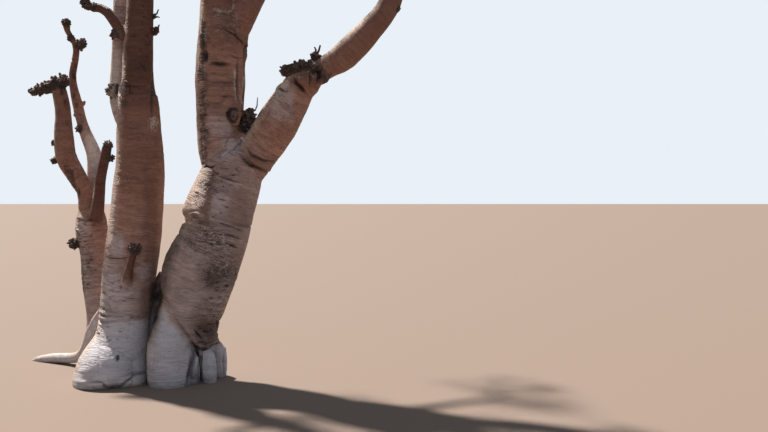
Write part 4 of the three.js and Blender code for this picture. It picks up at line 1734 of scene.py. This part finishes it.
@dataclass(frozen=True)
class BarkFinish:
    """Smooth, wrinkled bark: pinkish brown above, pale grey at the foot."""

    name: str = "smooth_bark"
    grey: Colour = shade_of(188, 171, 169)
    warm: Colour = shade_of(178, 135, 118)
    ember: Colour = shade_of(70, 35, 22)
    pink: Colour = shade_of(196, 160, 145)
    brown: Colour = shade_of(104, 66, 50)
    umber: Colour = shade_of(112, 92, 86)
    # the bark's lit colour, painted on the side facing the key light
    lit_bark: Colour = shade_of(204, 181, 166)
    foot: Colour = shade_of(194, 194, 204)
    # the foot's painted lit colour, with the foot colour above as its shaded side
    sunlit: Colour = shade_of(194, 178, 168)
    chalk: Colour = shade_of(208, 202, 207)
    pale: Colour = shade_of(224, 208, 198)
    soil: Colour = shade_of(116, 98, 88)
    crust: Colour = shade_of(54, 41, 38)
    # the colour of the painted shade in crevices and clefts
    painted_shade: Colour = shade_of(24, 17, 20)
    # the colour of painted shade in creases, grooves and hollows, and of the dark specks
    crease: Colour = shade_of(38, 25, 22)
    roughness: float = 0.6

    def make(self, rings: NodeTree, mottle: NodeTree) -> bpy.types.Material:
        """Builds the material.

        Args:
            rings: The group of fine ring wrinkles.
            mottle: The group of clouds, grain and specks.

        Returns:
            The bark.
        """
        material, nodes = new_material(self.name)
        fine = nodes.group(rings, Pitch=0.0042, Turns=7.0, Warp=0.012)
        coarse = nodes.group(rings, Pitch=0.014, Turns=4.0, Warp=0.04)
        broad = nodes.group(rings, Pitch=0.042, Turns=2.0, Warp=0.1)
        cracked = nodes.group(rings, Pitch=0.017, Turns=17.0, Warp=0.05)
        spots = nodes.group(mottle, Cloud_Size=0.3, Speck_Size=0.026)
        small = nodes.group(mottle, Cloud_Size=0.045, Speck_Size=0.009)
        dusk = nodes.mix(nodes.span(nodes.value("tan"), 0.0, 0.6), self.umber, self.brown)
        colour = self.body(nodes, dusk, broad["Band"], spots["Cloud"], small["Cloud"])
        lines = nodes.layered((fine["Height"], 0.16), (coarse["Crease"], 0.36), (broad["Crease"], 0.34))
        lines = nodes.times(lines, nodes.span(nodes.value("foot"), 0.0, 1.0, 0.9, 0.3))
        colour = self.wear(nodes, nodes.mix(lines, colour, dusk), coarse["Height"], cracked["Crack"], small)
        # painted shade in creases, grooves and knot hollows
        crease_shade_share = nodes.math("MINIMUM", nodes.times(nodes.value("crease_shade"), 0.6), 0.92)
        colour = nodes.mix(crease_shade_share, colour, self.crease)
        colour = nodes.mix(nodes.times(spots["Speck"], 0.7), colour, self.crease)
        rugged = nodes.math("ADD", nodes.value("scuff"), nodes.value("crust"))
        height = nodes.layered(
            (fine["Height"], 0.3), (coarse["Height"], 0.8), (small["Grain"], 0.35),
            (nodes.times(rugged, small["Cloud"]), 2.2), (nodes.times(rugged, cracked["Crack"]), -1.6),
        )
        bump = nodes.add("ShaderNodeBump", Strength=1.0, Distance=0.0035, Height=height).outputs["Normal"]
        rough = nodes.span(small["Grain"], 0.2, 0.8, self.roughness - 0.1, self.roughness + 0.16)
        nodes.surface(Base_Color=colour, Roughness=rough, Normal=bump)
        return material

    def body(self, nodes: Nodes, dusk: Socket, bands: Socket, clouds: Socket, mottling: Socket) -> Socket:
        """The bark's colour, from grey through reddish brown to its pale foot, painted paler on the side that
        faces the key light.

        Args:
            nodes: The material's nodes.
            dusk: The bark's darker colour.
            bands: Broad rings.
            clouds: Large mottling.
            mottling: Small mottling.

        Returns:
            The colour.
        """
        tan = nodes.value("tan")
        colour = nodes.mix(nodes.span(tan, 0.0, 0.55), self.grey, self.warm)
        colour = nodes.mix(nodes.span(tan, 0.45, 1.0), colour, self.ember)
        colour = nodes.mix(nodes.times(clouds, 0.4), colour, self.pink, "SOFT_LIGHT")
        for mask, strength, coat in (
            (mottling, 0.22, dusk), (bands, 0.3, dusk),
            # the side facing the key light is painted paler
            (nodes.value("stain"), 0.8, self.brown), (nodes.value("painted_light"), 0.75, self.lit_bark),
        ):
            colour = nodes.mix(nodes.times(mask, strength), colour, coat)
        foot = nodes.mix(nodes.times(mottling, 0.25), self.foot, self.pink)
        # lit and shaded copies of the foot bark, painted by which side faces the key light
        foot = nodes.mix(nodes.value("painted_light"), foot, self.sunlit)
        colour = nodes.mix(nodes.value("foot"), colour, foot)
        colour = nodes.mix(nodes.times(nodes.value("chalk"), 0.8), colour, self.chalk)
        level = nodes.add("ShaderNodeSeparateXYZ", Vector=nodes.place()).outputs["Z"]
        level = nodes.math("MULTIPLY_ADD", mottling, 0.06, level)
        return nodes.mix(nodes.span(level, 0.1, 0.02, 0.0, 0.45), colour, self.soil)

    def wear(self, nodes: Nodes, colour: Socket, rings: Socket, cracks: Socket, small: object) -> Socket:
        """Scuffs, scratches, crusts and bare wounds over the bark's own colour, and painted shade in the
        crevices over all.

        Args:
            nodes: The material's nodes.
            colour: The bark's colour so far.
            rings: Coarse rings.
            cracks: Rings with cracks.
            small: The outputs of the small mottling.

        Returns:
            The worn colour.
        """
        scuff, cloud, grain = nodes.value("scuff"), small["Cloud"], small["Grain"]
        for mask, strength, coat in (
            (nodes.span(rings, 0.6, 0.1), 0.7, self.crust),
            (nodes.times(cracks, nodes.span(cloud, 0.45, 0.9)), 0.8, self.pale),
            (nodes.times(cracks, nodes.span(cloud, 0.5, 0.1)), 0.7, self.crust),
            (nodes.span(grain, 0.56, 0.66), 0.6, self.pale),
        ):
            colour = nodes.mix(nodes.times(nodes.times(scuff, mask), strength), colour, coat)
        crust = nodes.times(nodes.value("crust"), nodes.span(grain, 0.3, 0.5, 0.8, 1.15))
        colour = nodes.mix(crust, colour, self.crust)
        colour = nodes.mix(nodes.times(nodes.value("wound"), 0.9), colour, self.pale)
        # painted shade darkens the crevices and clefts
        return nodes.mix(nodes.value("painted_shade"), colour, self.painted_shade)


@dataclass(frozen=True)
class TwigFinish:
    """The bark of twigs and shoots, each a little apart in colour."""

    name: str
    dark: Colour
    light: Colour
    pitch: float
    roughness: float = 0.8

    def make(self, rings: NodeTree, mottle: NodeTree) -> bpy.types.Material:
        """Builds the material.

        Args:
            rings: The group of fine ring wrinkles.
            mottle: The group of clouds, grain and specks.

        Returns:
            The twigs' bark.
        """
        material, nodes = new_material(self.name)
        wrinkle = nodes.group(rings, Pitch=self.pitch, Turns=20.0, Warp=0.01)
        spots = nodes.group(mottle, Cloud_Size=0.03, Speck_Size=0.006)
        share = nodes.layered((nodes.value("shade"), 0.5), (spots["Cloud"], 0.5))
        colour = nodes.mix(share, self.dark, self.light)
        colour = nodes.mix(nodes.times(wrinkle["Crease"], 0.4), colour, self.dark)
        height = nodes.math("MULTIPLY_ADD", spots["Grain"], 0.6, wrinkle["Height"])
        bump = nodes.add("ShaderNodeBump", Strength=0.7, Distance=0.0015, Height=height).outputs["Normal"]
        rough = nodes.span(spots["Grain"], 0.2, 0.8, self.roughness - 0.12, self.roughness + 0.1)
        nodes.surface(Base_Color=colour, Roughness=rough, Normal=bump)
        return material


@dataclass(frozen=True)
class Studio:
    """The pale floor, the soft lights and the camera."""

    floor_size: float = 600.0
    floor_colour: Colour = shade_of(121, 106, 97)
    floor_glow: Colour = shade_of(125, 110, 101)
    sky_colour: Colour = shade_of(233, 240, 247)
    sky_strength: float = 0.3
    eye: tuple[float, float, float] = (1.687, -6.8, 1.574)
    pitch: float = math.atan(HORIZON_ABOVE_MIDDLE / FOCAL_LENGTH)
    lens: float = 36.66

    def build(self) -> None:
        """Sets up the whole studio."""
        self.lay_floor()
        self.light()
        self.place_camera()

    def lay_floor(self) -> None:
        """Lays a plain pale floor under the tree."""
        bpy.ops.object.select_all(action="DESELECT")
        bpy.ops.mesh.primitive_plane_add(size=self.floor_size, location=(0, 0, -0.0005))
        floor = bpy.context.object
        floor.name = "floor"
        settle(floor)
        material, nodes = new_material("pale_floor")
        seen = nodes.add("ShaderNodeLightPath").outputs["Is Camera Ray"]
        colour = nodes.mix(seen, self.floor_glow, self.floor_colour)
        nodes.surface(Base_Color=colour, Roughness=0.9)
        floor.data.materials.append(material)

    def light(self) -> None:
        """Sets a soft key from the left behind, a fill from the front and a pale sky."""
        world = bpy.data.worlds.new("pale_sky")
        bpy.context.scene.world = world
        world.use_nodes = True
        nodes = Nodes(world.node_tree)
        seen = nodes.add("ShaderNodeBackground", Color=self.sky_colour, Strength=1.0)
        lit = nodes.add("ShaderNodeBackground", Color=self.sky_colour, Strength=self.sky_strength)
        path = nodes.add("ShaderNodeLightPath").outputs["Is Camera Ray"]
        both = nodes.add("ShaderNodeMixShader", Fac=path, i1=lit.outputs[0], i2=seen.outputs[0])
        nodes.add("ShaderNodeOutputWorld", Surface=both.outputs[0])
        bpy.context.scene.view_settings.view_transform = "Standard"
        for name, place, spread, power, colour in (
            ("key", (-3.87, 3.73, 8.43), 3.0, 8.9, (1.0, 0.93, 0.84)),
            ("fill", (3.0, -8.0, 5.0), 60.0, 0.42, (0.8, 0.91, 1.05)),
        ):
            lamp = bpy.data.lights.new(name, "SUN")
            lamp.angle, lamp.energy, lamp.color = math.radians(spread), power, colour
            holder = bpy.data.objects.new(name, lamp)
            bpy.context.scene.collection.objects.link(holder)
            holder.location = place
            holder.rotation_euler = (-Vector(place)).to_track_quat("-Z", "Y").to_euler()

    def place_camera(self) -> None:
        """Puts the camera where the picture was taken from."""
        lens = bpy.data.cameras.new("camera")
        lens.lens = self.lens
        lens.sensor_width = 36.0
        lens.clip_end = 400.0
        holder = bpy.data.objects.new("camera", lens)
        bpy.context.scene.collection.objects.link(holder)
        holder.location = self.eye
        holder.rotation_euler = Euler((math.pi / 2 - self.pitch, 0, 0))
        bpy.context.scene.camera = holder


RIGHT_STEM = Stem(
    "stem_right",
    {
        "bark_trunk_right": ("trunk_right", "web"),
        "bark_upright": ("bough_upright", "knot_crotch", "bough_upright_front"),
        "bark_reaching": ("bough_reaching", "bough_reaching_outer", "bough_reaching_inner"),
        "bark_upright_right": ("bough_upright_right",), "bark_back": ("bough_back",),
    },
    seed=5, voxel=8.0,
    furrows=(
        Furrow(((128, 1846), (180, 1862), (226, 1850), (269, 1868)), 10, 14, 0.0, 1.5),
        Furrow(((470, 1954), (555, 1870), (656, 1828), (712, 1800)), 13, 18, shade_weight=1.0, hood=14),
        Furrow(((521, 2022), (563, 1954), (656, 1912), (762, 1905)), 10, 14, shade_weight=0.9, hood=12),
        Furrow(((472, 2097), (404, 1996), (303, 1912)), 7, 6, shade_weight=0.5),
        Furrow(((305, 1391), (400, 1352), (488, 1308)), 5, 10, shade_weight=1.0, hood=4),
        Furrow(((338, 1295), (410, 1268), (472, 1238)), 5, 9, shade_weight=0.9, hood=4),
        Furrow(((330, 1222), (395, 1196), (447, 1156)), 5, 9, shade_weight=1.0, hood=4),
        Furrow(((22, 1258), (155, 1224), (285, 1246)), 5, 6, shade_weight=0.5),
        Furrow(((313, 1774), (400, 1740), (490, 1716)), 6, 8, shade_weight=0.8, hood=5),
        Furrow(((38, 1400), (100, 1434), (200, 1418)), 8, 10, shade_weight=0.5, hood=10),
        Furrow(((-10, 1340), (90, 1372), (190, 1350)), 6, 6, shade_weight=0.4),
        Furrow(((318, 3027), (411, 2985), (487, 2909), (504, 2855)), 8, 14, shade_weight=0.9, hood=6),
        Furrow(((226, 2742), (300, 2714), (378, 2724)), 12, 16, shade_weight=0.9, hood=12),
        Furrow(((196, 2642), (330, 2628), (440, 2644)), 5, 6, hood=3),
        Furrow(((200, 2572), (330, 2560), (440, 2572)), 5, 5, shade_weight=0.5, hood=3),
        Furrow(((188, 2456), (320, 2446), (436, 2462)), 6, 6, hood=4),
        Furrow(((96, 2300), (140, 2288), (196, 2300)), 7, 9, shade_weight=0.7, hood=6),
        Furrow(((412, 987), (405, 870), (412, 760)), 5, 5),
        Furrow(((500, 2800), (436, 2784), (372, 2800)), 6, 8),
        Furrow(((66, 400), (84, 320), (120, 288), (168, 296)), 12, 28, 0.3, 1.6, 8),
        Furrow(((160, 300), (205, 304), (244, 340)), 8, 9, 0.3, 0.6),
        Furrow(((-70, 600), (-6, 505), (48, 420), (60, 345)), 13, 12, shade_weight=0.45),
        Furrow(((82, 370), (76, 320), (48, 180), (12, -20)), 13, 20, shade_weight=0.8),
        Furrow(((120, 270), (104, 150), (112, -20)), 12, 18, shade_weight=0.7),
        Furrow(((266, 250), (262, 140), (268, -20)), 8, 10, shade_weight=0.5),
        Furrow(((90, 486), (112, 444), (136, 404)), 6, 14, shade_weight=1.2),
        Furrow(((148, 460), (182, 446), (218, 464)), 6, 12, shade_weight=1.1),
        Furrow(((252, 552), (242, 474), (256, 400)), 6, 10, shade_weight=1.0),
        Furrow(((120, 380), (170, 352), (236, 372)), 5, 9, shade_weight=0.7),
        Furrow(((930, 2616), (950, 2548), (1026, 2482)), 13, 26, shade_weight=1.5),
        Furrow(((1060, 2656), (1074, 2596), (1064, 2520)), 9, 22, shade_weight=1.3),
        Furrow(((1128, 2676), (1142, 2620), (1126, 2548)), 10, 22, shade_weight=1.3),
        Furrow(((1180, 2640), (1202, 2594), (1188, 2540)), 8, 14, shade_weight=1.0),
        Furrow(((750, 2494), (800, 2518), (846, 2490), (890, 2480)), 7, 10, shade_weight=0.9, hood=10),
        Furrow(arc((408, 2292), (46, 62), 40, 370), 12, 16, 0.5, 1.8),
        Furrow(((440, 2780), (438, 2620), (430, 2480), (446, 2380)), 7, 14, 0.2, 0.8),
        *crack_field((250, 1560), (150, 250), 30, 1), *crack_field((220, 1180), (190, 170), 32, 2),
        *crack_field((280, 880), (160, 190), 26, 3), *crack_field((190, 440), (110, 110), 22, 4, 60),
        *crack_field((310, 2900), (130, 160), 14, 5), *crack_field((340, 1790), (150, 70), 14, 6, 60),
        *crack_field((770, 2250), (120, 220), 14, 7, 24),
        *crack_field((1190, 2600), (70, 60), 10, 8, 50, 60),
    ),
    knots=(
        Knot(174, 2785, 34, 50, 18, 6, 1.3, 0.9), Knot(402, 2280, 20, 26, 24, 0, 1.0, 1.0, 0.3),
        Knot(176, 480, 40, 36, 8, 5, 2.6, 0.8, 0.8), Knot(92, 316, 26, 34, 34, 0, 1.0, 1.8),
        Knot(205, 2930, 26, 34, 10, 4, 1.2, 0.6),
        *scar_row(((170, 3060), (168, 2800), (166, 2540), (160, 2280), (172, 2020)), 15, 46, 3),
        Knot(262, 1235, 40, 24, 5, 3, 2.2, 0.4), Knot(300, 1640, 60, 36, 5, 3, 2.4, 0.35),
        Knot(360, 935, 18, 9, 8, 2, 1.0, 0.9), Knot(360, 985, 18, 8, 8, 2, 1.0, 0.9),
        Knot(330, 3160, 50, 40, 10, 4, 2.2, 0.5),
    ),
    swellings=(
        Swelling(400, 2880, 100, 66, 18), Swelling(250, 3120, 60, 50, 8), Swelling(620, 1990, 150, 70, 10),
        Swelling(150, 1480, 150, 90, 12), Swelling(60, 1180, 150, 160, 8), Swelling(-50, 1410, 110, 50, -42),
        Swelling(185, 375, 90, 70, 20), Swelling(70, 380, 50, 90, 12),
    ),
    patches=(
        Patch(173, 2785, 30, 70, CRUST, 0.9), Patch(160, 2930, 34, 110, CRUST, 0.8),
        Patch(301, 2716, 84, 24, CRUST, 0.8), Patch(560, 1900, 110, 60, STAIN, 0.9),
        # the second patch paints the deep shade in the crotch
        Patch(404, 2290, 62, 84, CRUST, 0.6, 0.15), Patch(496, 2196, 48, 66, PAINTED_SHADE, 1.0, 0.15),
        Patch(480, 2580, 30, 220, STAIN), Patch(230, 1240, 210, 170, SCUFF),
        Patch(300, 980, 200, 200, SCUFF), Patch(262, 935, 92, 76, CRUST, 0.5),
        Patch(262, 935, 100, 90, STAIN, 0.9), Patch(300, 1700, 150, 130, SCUFF, 0.8),
        # the second patch paints shade on the web between the two trunks
        Patch(340, 2940, 150, 140, STAIN, 0.6), Patch(-290, 700, 100, 330, PAINTED_SHADE, 1.0, 0.1),
        # these patches and the first one on the next line paint shade in the cavity under the knee, down to
        # the ground
        Patch(120, 304, 54, 34, PAINTED_SHADE, 0.8, 0.15), Patch(92, 322, 30, 50, PAINTED_SHADE, 0.8, 0.15),
        Patch(70, 50, 44, 100, PAINTED_SHADE, 0.7, 0.15), Patch(1060, 2680, 150, 40, CRUST, 0.8),
        Patch(1060, 2640, 130, 90, SCUFF), Patch(1180, 2600, 70, 70, CRUST, 0.6),
        # the first patch is crusted bark on the lower left flank, darkened also as painted shadow from the
        # middle trunk
        Patch(-60, 1230, 50, 150, CRUST, 0.35), Patch(249, 718, 60, 26, CHALK, 0.7),
        Patch(404, 2040, 86, 66, CHALK, 0.7), Patch(380, 1690, 120, 46, CHALK, 0.5),
        # the second patch is a pale torn patch on the knob, painted paler also as the sunlight that the burrs
        # keep off it
        Patch(330, 1560, 90, 150, CHALK, 0.6), Patch(822, 2560, 60, 90, WOUND, 1.0, 0.5),
        Patch(800, 2540, 90, 100, SCUFF, 0.8), Patch(176, 2960, 12, 60, WOUND, 0.5, 0.9),
        Patch(170, 2700, 12, 90, WOUND, 0.5, 0.9), Patch(168, 2420, 12, 90, WOUND, 0.4, 0.9),
        Patch(300, 2190, 130, 100, CHALK, 0.5), Patch(190, 470, 150, 170, STAIN),
        Patch(190, 400, 120, 110, CRUST, 0.45), Patch(330, 2400, 160, 260, STAIN, 0.4),
        Patch(480, 1500, 90, 220, STAIN, 0.5), Patch(430, 900, 80, 420, STAIN, 0.6),
        Patch(1060, 2600, 150, 90, STAIN, 0.9), Patch(830, 2400, 130, 170, CHALK, 0.75),
        Patch(250, 620, 160, 120, SCUFF, 0.7), Patch(330, 3080, 140, 120, SCUFF, 0.6),
    ),
    bands=(
        Band(
            CRUST,
            (
                (140, 3060), (176, 2960), (160, 2880), (182, 2790), (150, 2654), (176, 2540), (146, 2440),
                (170, 2340), (150, 2229),
            ),
            16, 0.3,
        ),
        Band(CRUST, ((156, 2229), (180, 2120), (160, 2010), (178, 1855)), 12, 0.2),
        # painted shadow that the middle trunk casts on this trunk's lower left flank, then painted shade in
        # the crevice below it
        Band(PAINTED_SHADE, ((-110, 1160), (-166, 940), (-215, 780)), 84, 0.6, 0.25),
        Band(PAINTED_SHADE, ((-230, 780), (-262, 640), (-296, 520), (-310, 420)), 60, 0.95, 0.3),
        Band(SCUFF, ((150, 3100), (150, 2700), (140, 2300), (150, 1900)), 34),
        Band(STAIN, ((236, 1800), (222, 1600), (205, 1400)), 46, 0.8),
        Band(WOUND, ((258, 3180), (368, 3166), (411, 3239)), 10, 0.35),
        Band(CHALK, ((472, 2097), (404, 1996), (303, 1912)), 26, 0.7),
        # a painted highlight: a pale vertical streak on the upright bough
        Band(CHALK, ((424, 2680), (418, 2560), (424, 2440)), 11, 0.7, 0.8),
        # painted shade in the crevice between the two feet
        Band(PAINTED_SHADE, ((-312, 440), (-326, 220), (-318, -20)), 20, 0.9, 0.3),
    ),
    wrinklings=(
        Wrinkling(60, 1480, 120, 160, 1.0), Wrinkling(300, 2450, 200, 240, 0.9),
        Wrinkling(220, 600, 180, 150, 0.8), Wrinkling(-130, 330, 180, 300, -0.1),
        Wrinkling(300, 1900, 220, 120, 0.7), Wrinkling(150, 1250, 260, 260, 0.5),
    ),
    sprigs=(
        ((530, -20, 2330, 9), (572, -14, 2350, 7), (588, -10, 2390, 6), (592, -10, 2462, 4)),
        ((1110, -130, 2796, 11), (1133, -132, 2842, 10), (1146, -134, 2888, 8)),
        ((1104, -130, 2796, 11), (1108, -126, 2850, 9), (1096, -124, 2874, 7)),
    ),
    foot_line=((-260, 640), (-190, 660), (60, 350), (130, 285)), relief=BarkRelief(reach=56),
)
MIDDLE_STEM = Stem(
    "stem_middle",
    {
        "bark_trunk_middle": ("trunk_middle",),
        "bark_tall": ("bough_tall", "bough_tall_left", "bough_tall_right", "bough_hooked", "stub_front"),
        "bark_pale": ("bough_pale",), "bark_root": ("root_left",),
    },
    seed=8,
    furrows=(
        Furrow(((-672, 1088), (-536, 1081), (-440, 1094)), 7, 11, shade_weight=0.7, hood=6),
        Furrow(((-488, 744), (-427, 738)), 6, 8, shade_weight=0.9, hood=4),
        Furrow(((-790, 552), (-690, 538), (-560, 548)), 12, 14, shade_weight=0.4, hood=8),
        Furrow(((-790, 600), (-700, 588), (-600, 598)), 9, 8, shade_weight=0.35, hood=6),
        Furrow(((-561, 262), (-561, 208)), 7, 14, shade_weight=1.2),
        Furrow(((-310, 2620), (-300, 2450), (-298, 2290)), 7, 12, shade_weight=0.7),
        Furrow(((-560, -10), (-503, 70), (-430, 92), (-372, 84)), 10, 20, 0.3, 0.6),
        Furrow(((-800, 40), (-750, 62), (-690, 76), (-640, 66), (-600, -10)), 10, 18, 0.3, 0.5),
        *crack_field((-620, 780), (150, 230), 12, 11, 60, 0),
        *crack_field((-640, 440), (110, 60), 8, 12, 40, 0), *crack_field((-420, 2480), (100, 70), 10, 13),
        *crack_field((-380, 2900), (90, 400), 20, 14, 50, 0),
    ),
    knots=(
        Knot(-520, 2510, 40, 44, 8, 12, 2.4, 0.9), Knot(-690, 1400, 16, 18, 10, 3, 1.0, 1.0),
        Knot(-700, 650, 40, 18, 8, 3, 1.5, 0.8), Knot(-690, 590, 44, 16, 8, 3, 1.5, 0.8),
    ),
    swellings=(
        Swelling(-530, 2524, 44, 50, 22), Swelling(-275, 2231, 30, 60, -8),
        Swelling(-255, 2410, 46, 150, 16), Swelling(-578, 24, 64, 66, -34),
        Swelling(-640, 110, 280, 380, 116), Swelling(-770, 10, 130, 60, 26), Swelling(-450, 16, 80, 60, 34),
        Swelling(-560, 700, 240, 90, 8), Swelling(-620, 1180, 120, 90, 8),
    ),
    patches=(
        Patch(-285, 2231, 26, 58, WOUND, 0.8, 0.8), Patch(-290, 2231, 34, 66, SCUFF),
        Patch(-520, 2395, 44, 34, CRUST, 0.8), Patch(-536, 2530, 40, 50, CHALK, 0.9),
        Patch(-400, 3050, 130, 260, STAIN, 0.7), Patch(-560, 1190, 80, 120, CHALK),
        Patch(-427, 926, 90, 60, STAIN, 0.8), Patch(-440, 572, 150, 34, STAIN),
        Patch(-360, 960, 50, 100, CHALK, 0.6), Patch(-620, 780, 180, 280, CHALK),
        Patch(-620, 1500, 60, 260, CHALK, 0.35), Patch(-700, 700, 80, 160, SCUFF, 0.3),
        Patch(-574, 10, 54, 46, CRUST, 0.8), Patch(-480, 190, 100, 50, STAIN, 0.4),
        # the last patch here and the last on the next line paint shade in the foot's clefts
        Patch(-640, 2600, 110, 320, WOUND, 0.6), Patch(-330, 90, 34, 90, PAINTED_SHADE, 0.7, 0.15),
        Patch(-450, 30, 96, 44, WOUND, 0.6, 0.3), Patch(-450, 108, 90, 22, PAINTED_SHADE, 0.5, 0.15),
    ),
    bands=(
        # painted shade in the crevice between the middle and right trunks
        Band(PAINTED_SHADE, ((-300, 840), (-312, 720), (-322, 590), (-338, 430)), 30, 1.0, 0.3),
        Band(PAINTED_SHADE, ((-344, 430), (-344, 200), (-338, -20)), 24, 0.9, 0.3),
        # painted shade down the middle trunk's right side, kept as a stain
        Band(STAIN, ((-290, 1750), (-300, 1300), (-340, 900), (-370, 560)), 62, 0.7, 0.3),
    ),
    relief=BarkRelief(reach=140),
    wrinklings=(
        Wrinkling(-640, 800, 160, 280, 0.7), Wrinkling(-400, 2900, 160, 500, 0.8),
        Wrinkling(-450, 1900, 220, 260, 0.4), Wrinkling(-520, 2250, 160, 160, 0.9),
    ),
    sprigs=(
        ((-304, 0, 3165, 8), (-276, -4, 3186, 7), (-262, -6, 3222, 5)),
        ((-300, 0, 3150, 8), (-270, -8, 3158, 7), (-252, -8, 3150, 5)),
        ((-300, 0, 3040, 9), (-268, -4, 3062, 8), (-256, -4, 3090, 6)),
    ),
    foot_line=((-760, 560), (-300, 530)),
)
LEFT_STEM = Stem(
    "stem_left",
    {
        "bark_trunk_left": ("trunk_left", "stub_left"), "bark_left": ("bough_left",),
        "bark_thin": ("bough_thin",),
    },
    seed=13, voxel=7.0,
    furrows=(
        Furrow(((-1237, 1290), (-1190, 1252), (-1203, 1224)), 9, 10, shade_weight=0.9, hood=8),
        Furrow(((-1230, 1400), (-1120, 1378), (-1010, 1400)), 8, 9, hood=8),
        *crack_field((-1120, 1000), (90, 380), 28, 21, 50, 0),
        *crack_field((-1290, 1800), (70, 170), 14, 22, 40, 30),
    ),
    patches=(
        Patch(-1194, 792, 34, 240, CRUST, 0.8), Patch(-1265, 1782, 46, 110, CRUST, 0.6),
        Patch(-1119, 2030, 90, 180, CHALK), Patch(-1145, 2060, 80, 210, WOUND),
        Patch(-1150, 1000, 110, 300, SCUFF, 0.6), Patch(-1160, 1300, 90, 110, CHALK, 0.9),
        Patch(-1150, 900, 60, 300, CHALK, 0.5),
    ),
    knots=(
        *scar_row(((-1326, 2960), (-1340, 2760), (-1300, 2520), (-1240, 2280)), 16, 34, 23),
        *scar_row(((-1290, 1900), (-1230, 1740), (-1180, 1600)), 9, 36, 24),
    ),
    wrinklings=(Wrinkling(-1120, 1300, 160, 160, 0.9),),
    sprigs=(
        ((-888, 553, 1980, 9), (-878, 550, 2050, 8), (-888, 546, 2140, 5)),
        ((-900, 552, 1990, 8), (-912, 548, 2060, 7), (-932, 546, 2130, 5)),
    ),
    foot_line=((0, 120),),
)


def dress(pieces: list[Piece], material: bpy.types.Material) -> None:
    """Gives pieces their finish and reports them.

    Args:
        pieces: The pieces.
        material: The finish.
    """
    for piece in pieces:
        piece.data.materials.clear()
        piece.data.materials.append(material)
        piece.data.calc_loop_triangles()
        LOG.info("%s: %d triangles", piece.name, len(piece.data.loop_triangles))


def main() -> None:
    """Builds the tree and its studio."""
    logging.basicConfig(level=logging.INFO, format="%(message)s")
    rings, mottle = ring_wrinkle_group(), mottle_group()
    bark = BarkFinish().make(rings, mottle)
    shoots = TwigFinish("shoot_bark", shade_of(48, 36, 34), shade_of(104, 80, 70), 0.006).make(rings, mottle)
    twigs = TwigFinish("twig_bark", shade_of(84, 66, 58), shade_of(140, 112, 98), 0.008).make(rings, mottle)
    for stem in (RIGHT_STEM, MIDDLE_STEM, LEFT_STEM):
        dress(stem.build(), bark)
        dress([BurrShoots(stem.name.replace("stem", "shoots"), stem).build()], shoots)
    dress(Crown().build(), twigs)
    Studio().build()


if __name__ == "__main__":
    main()
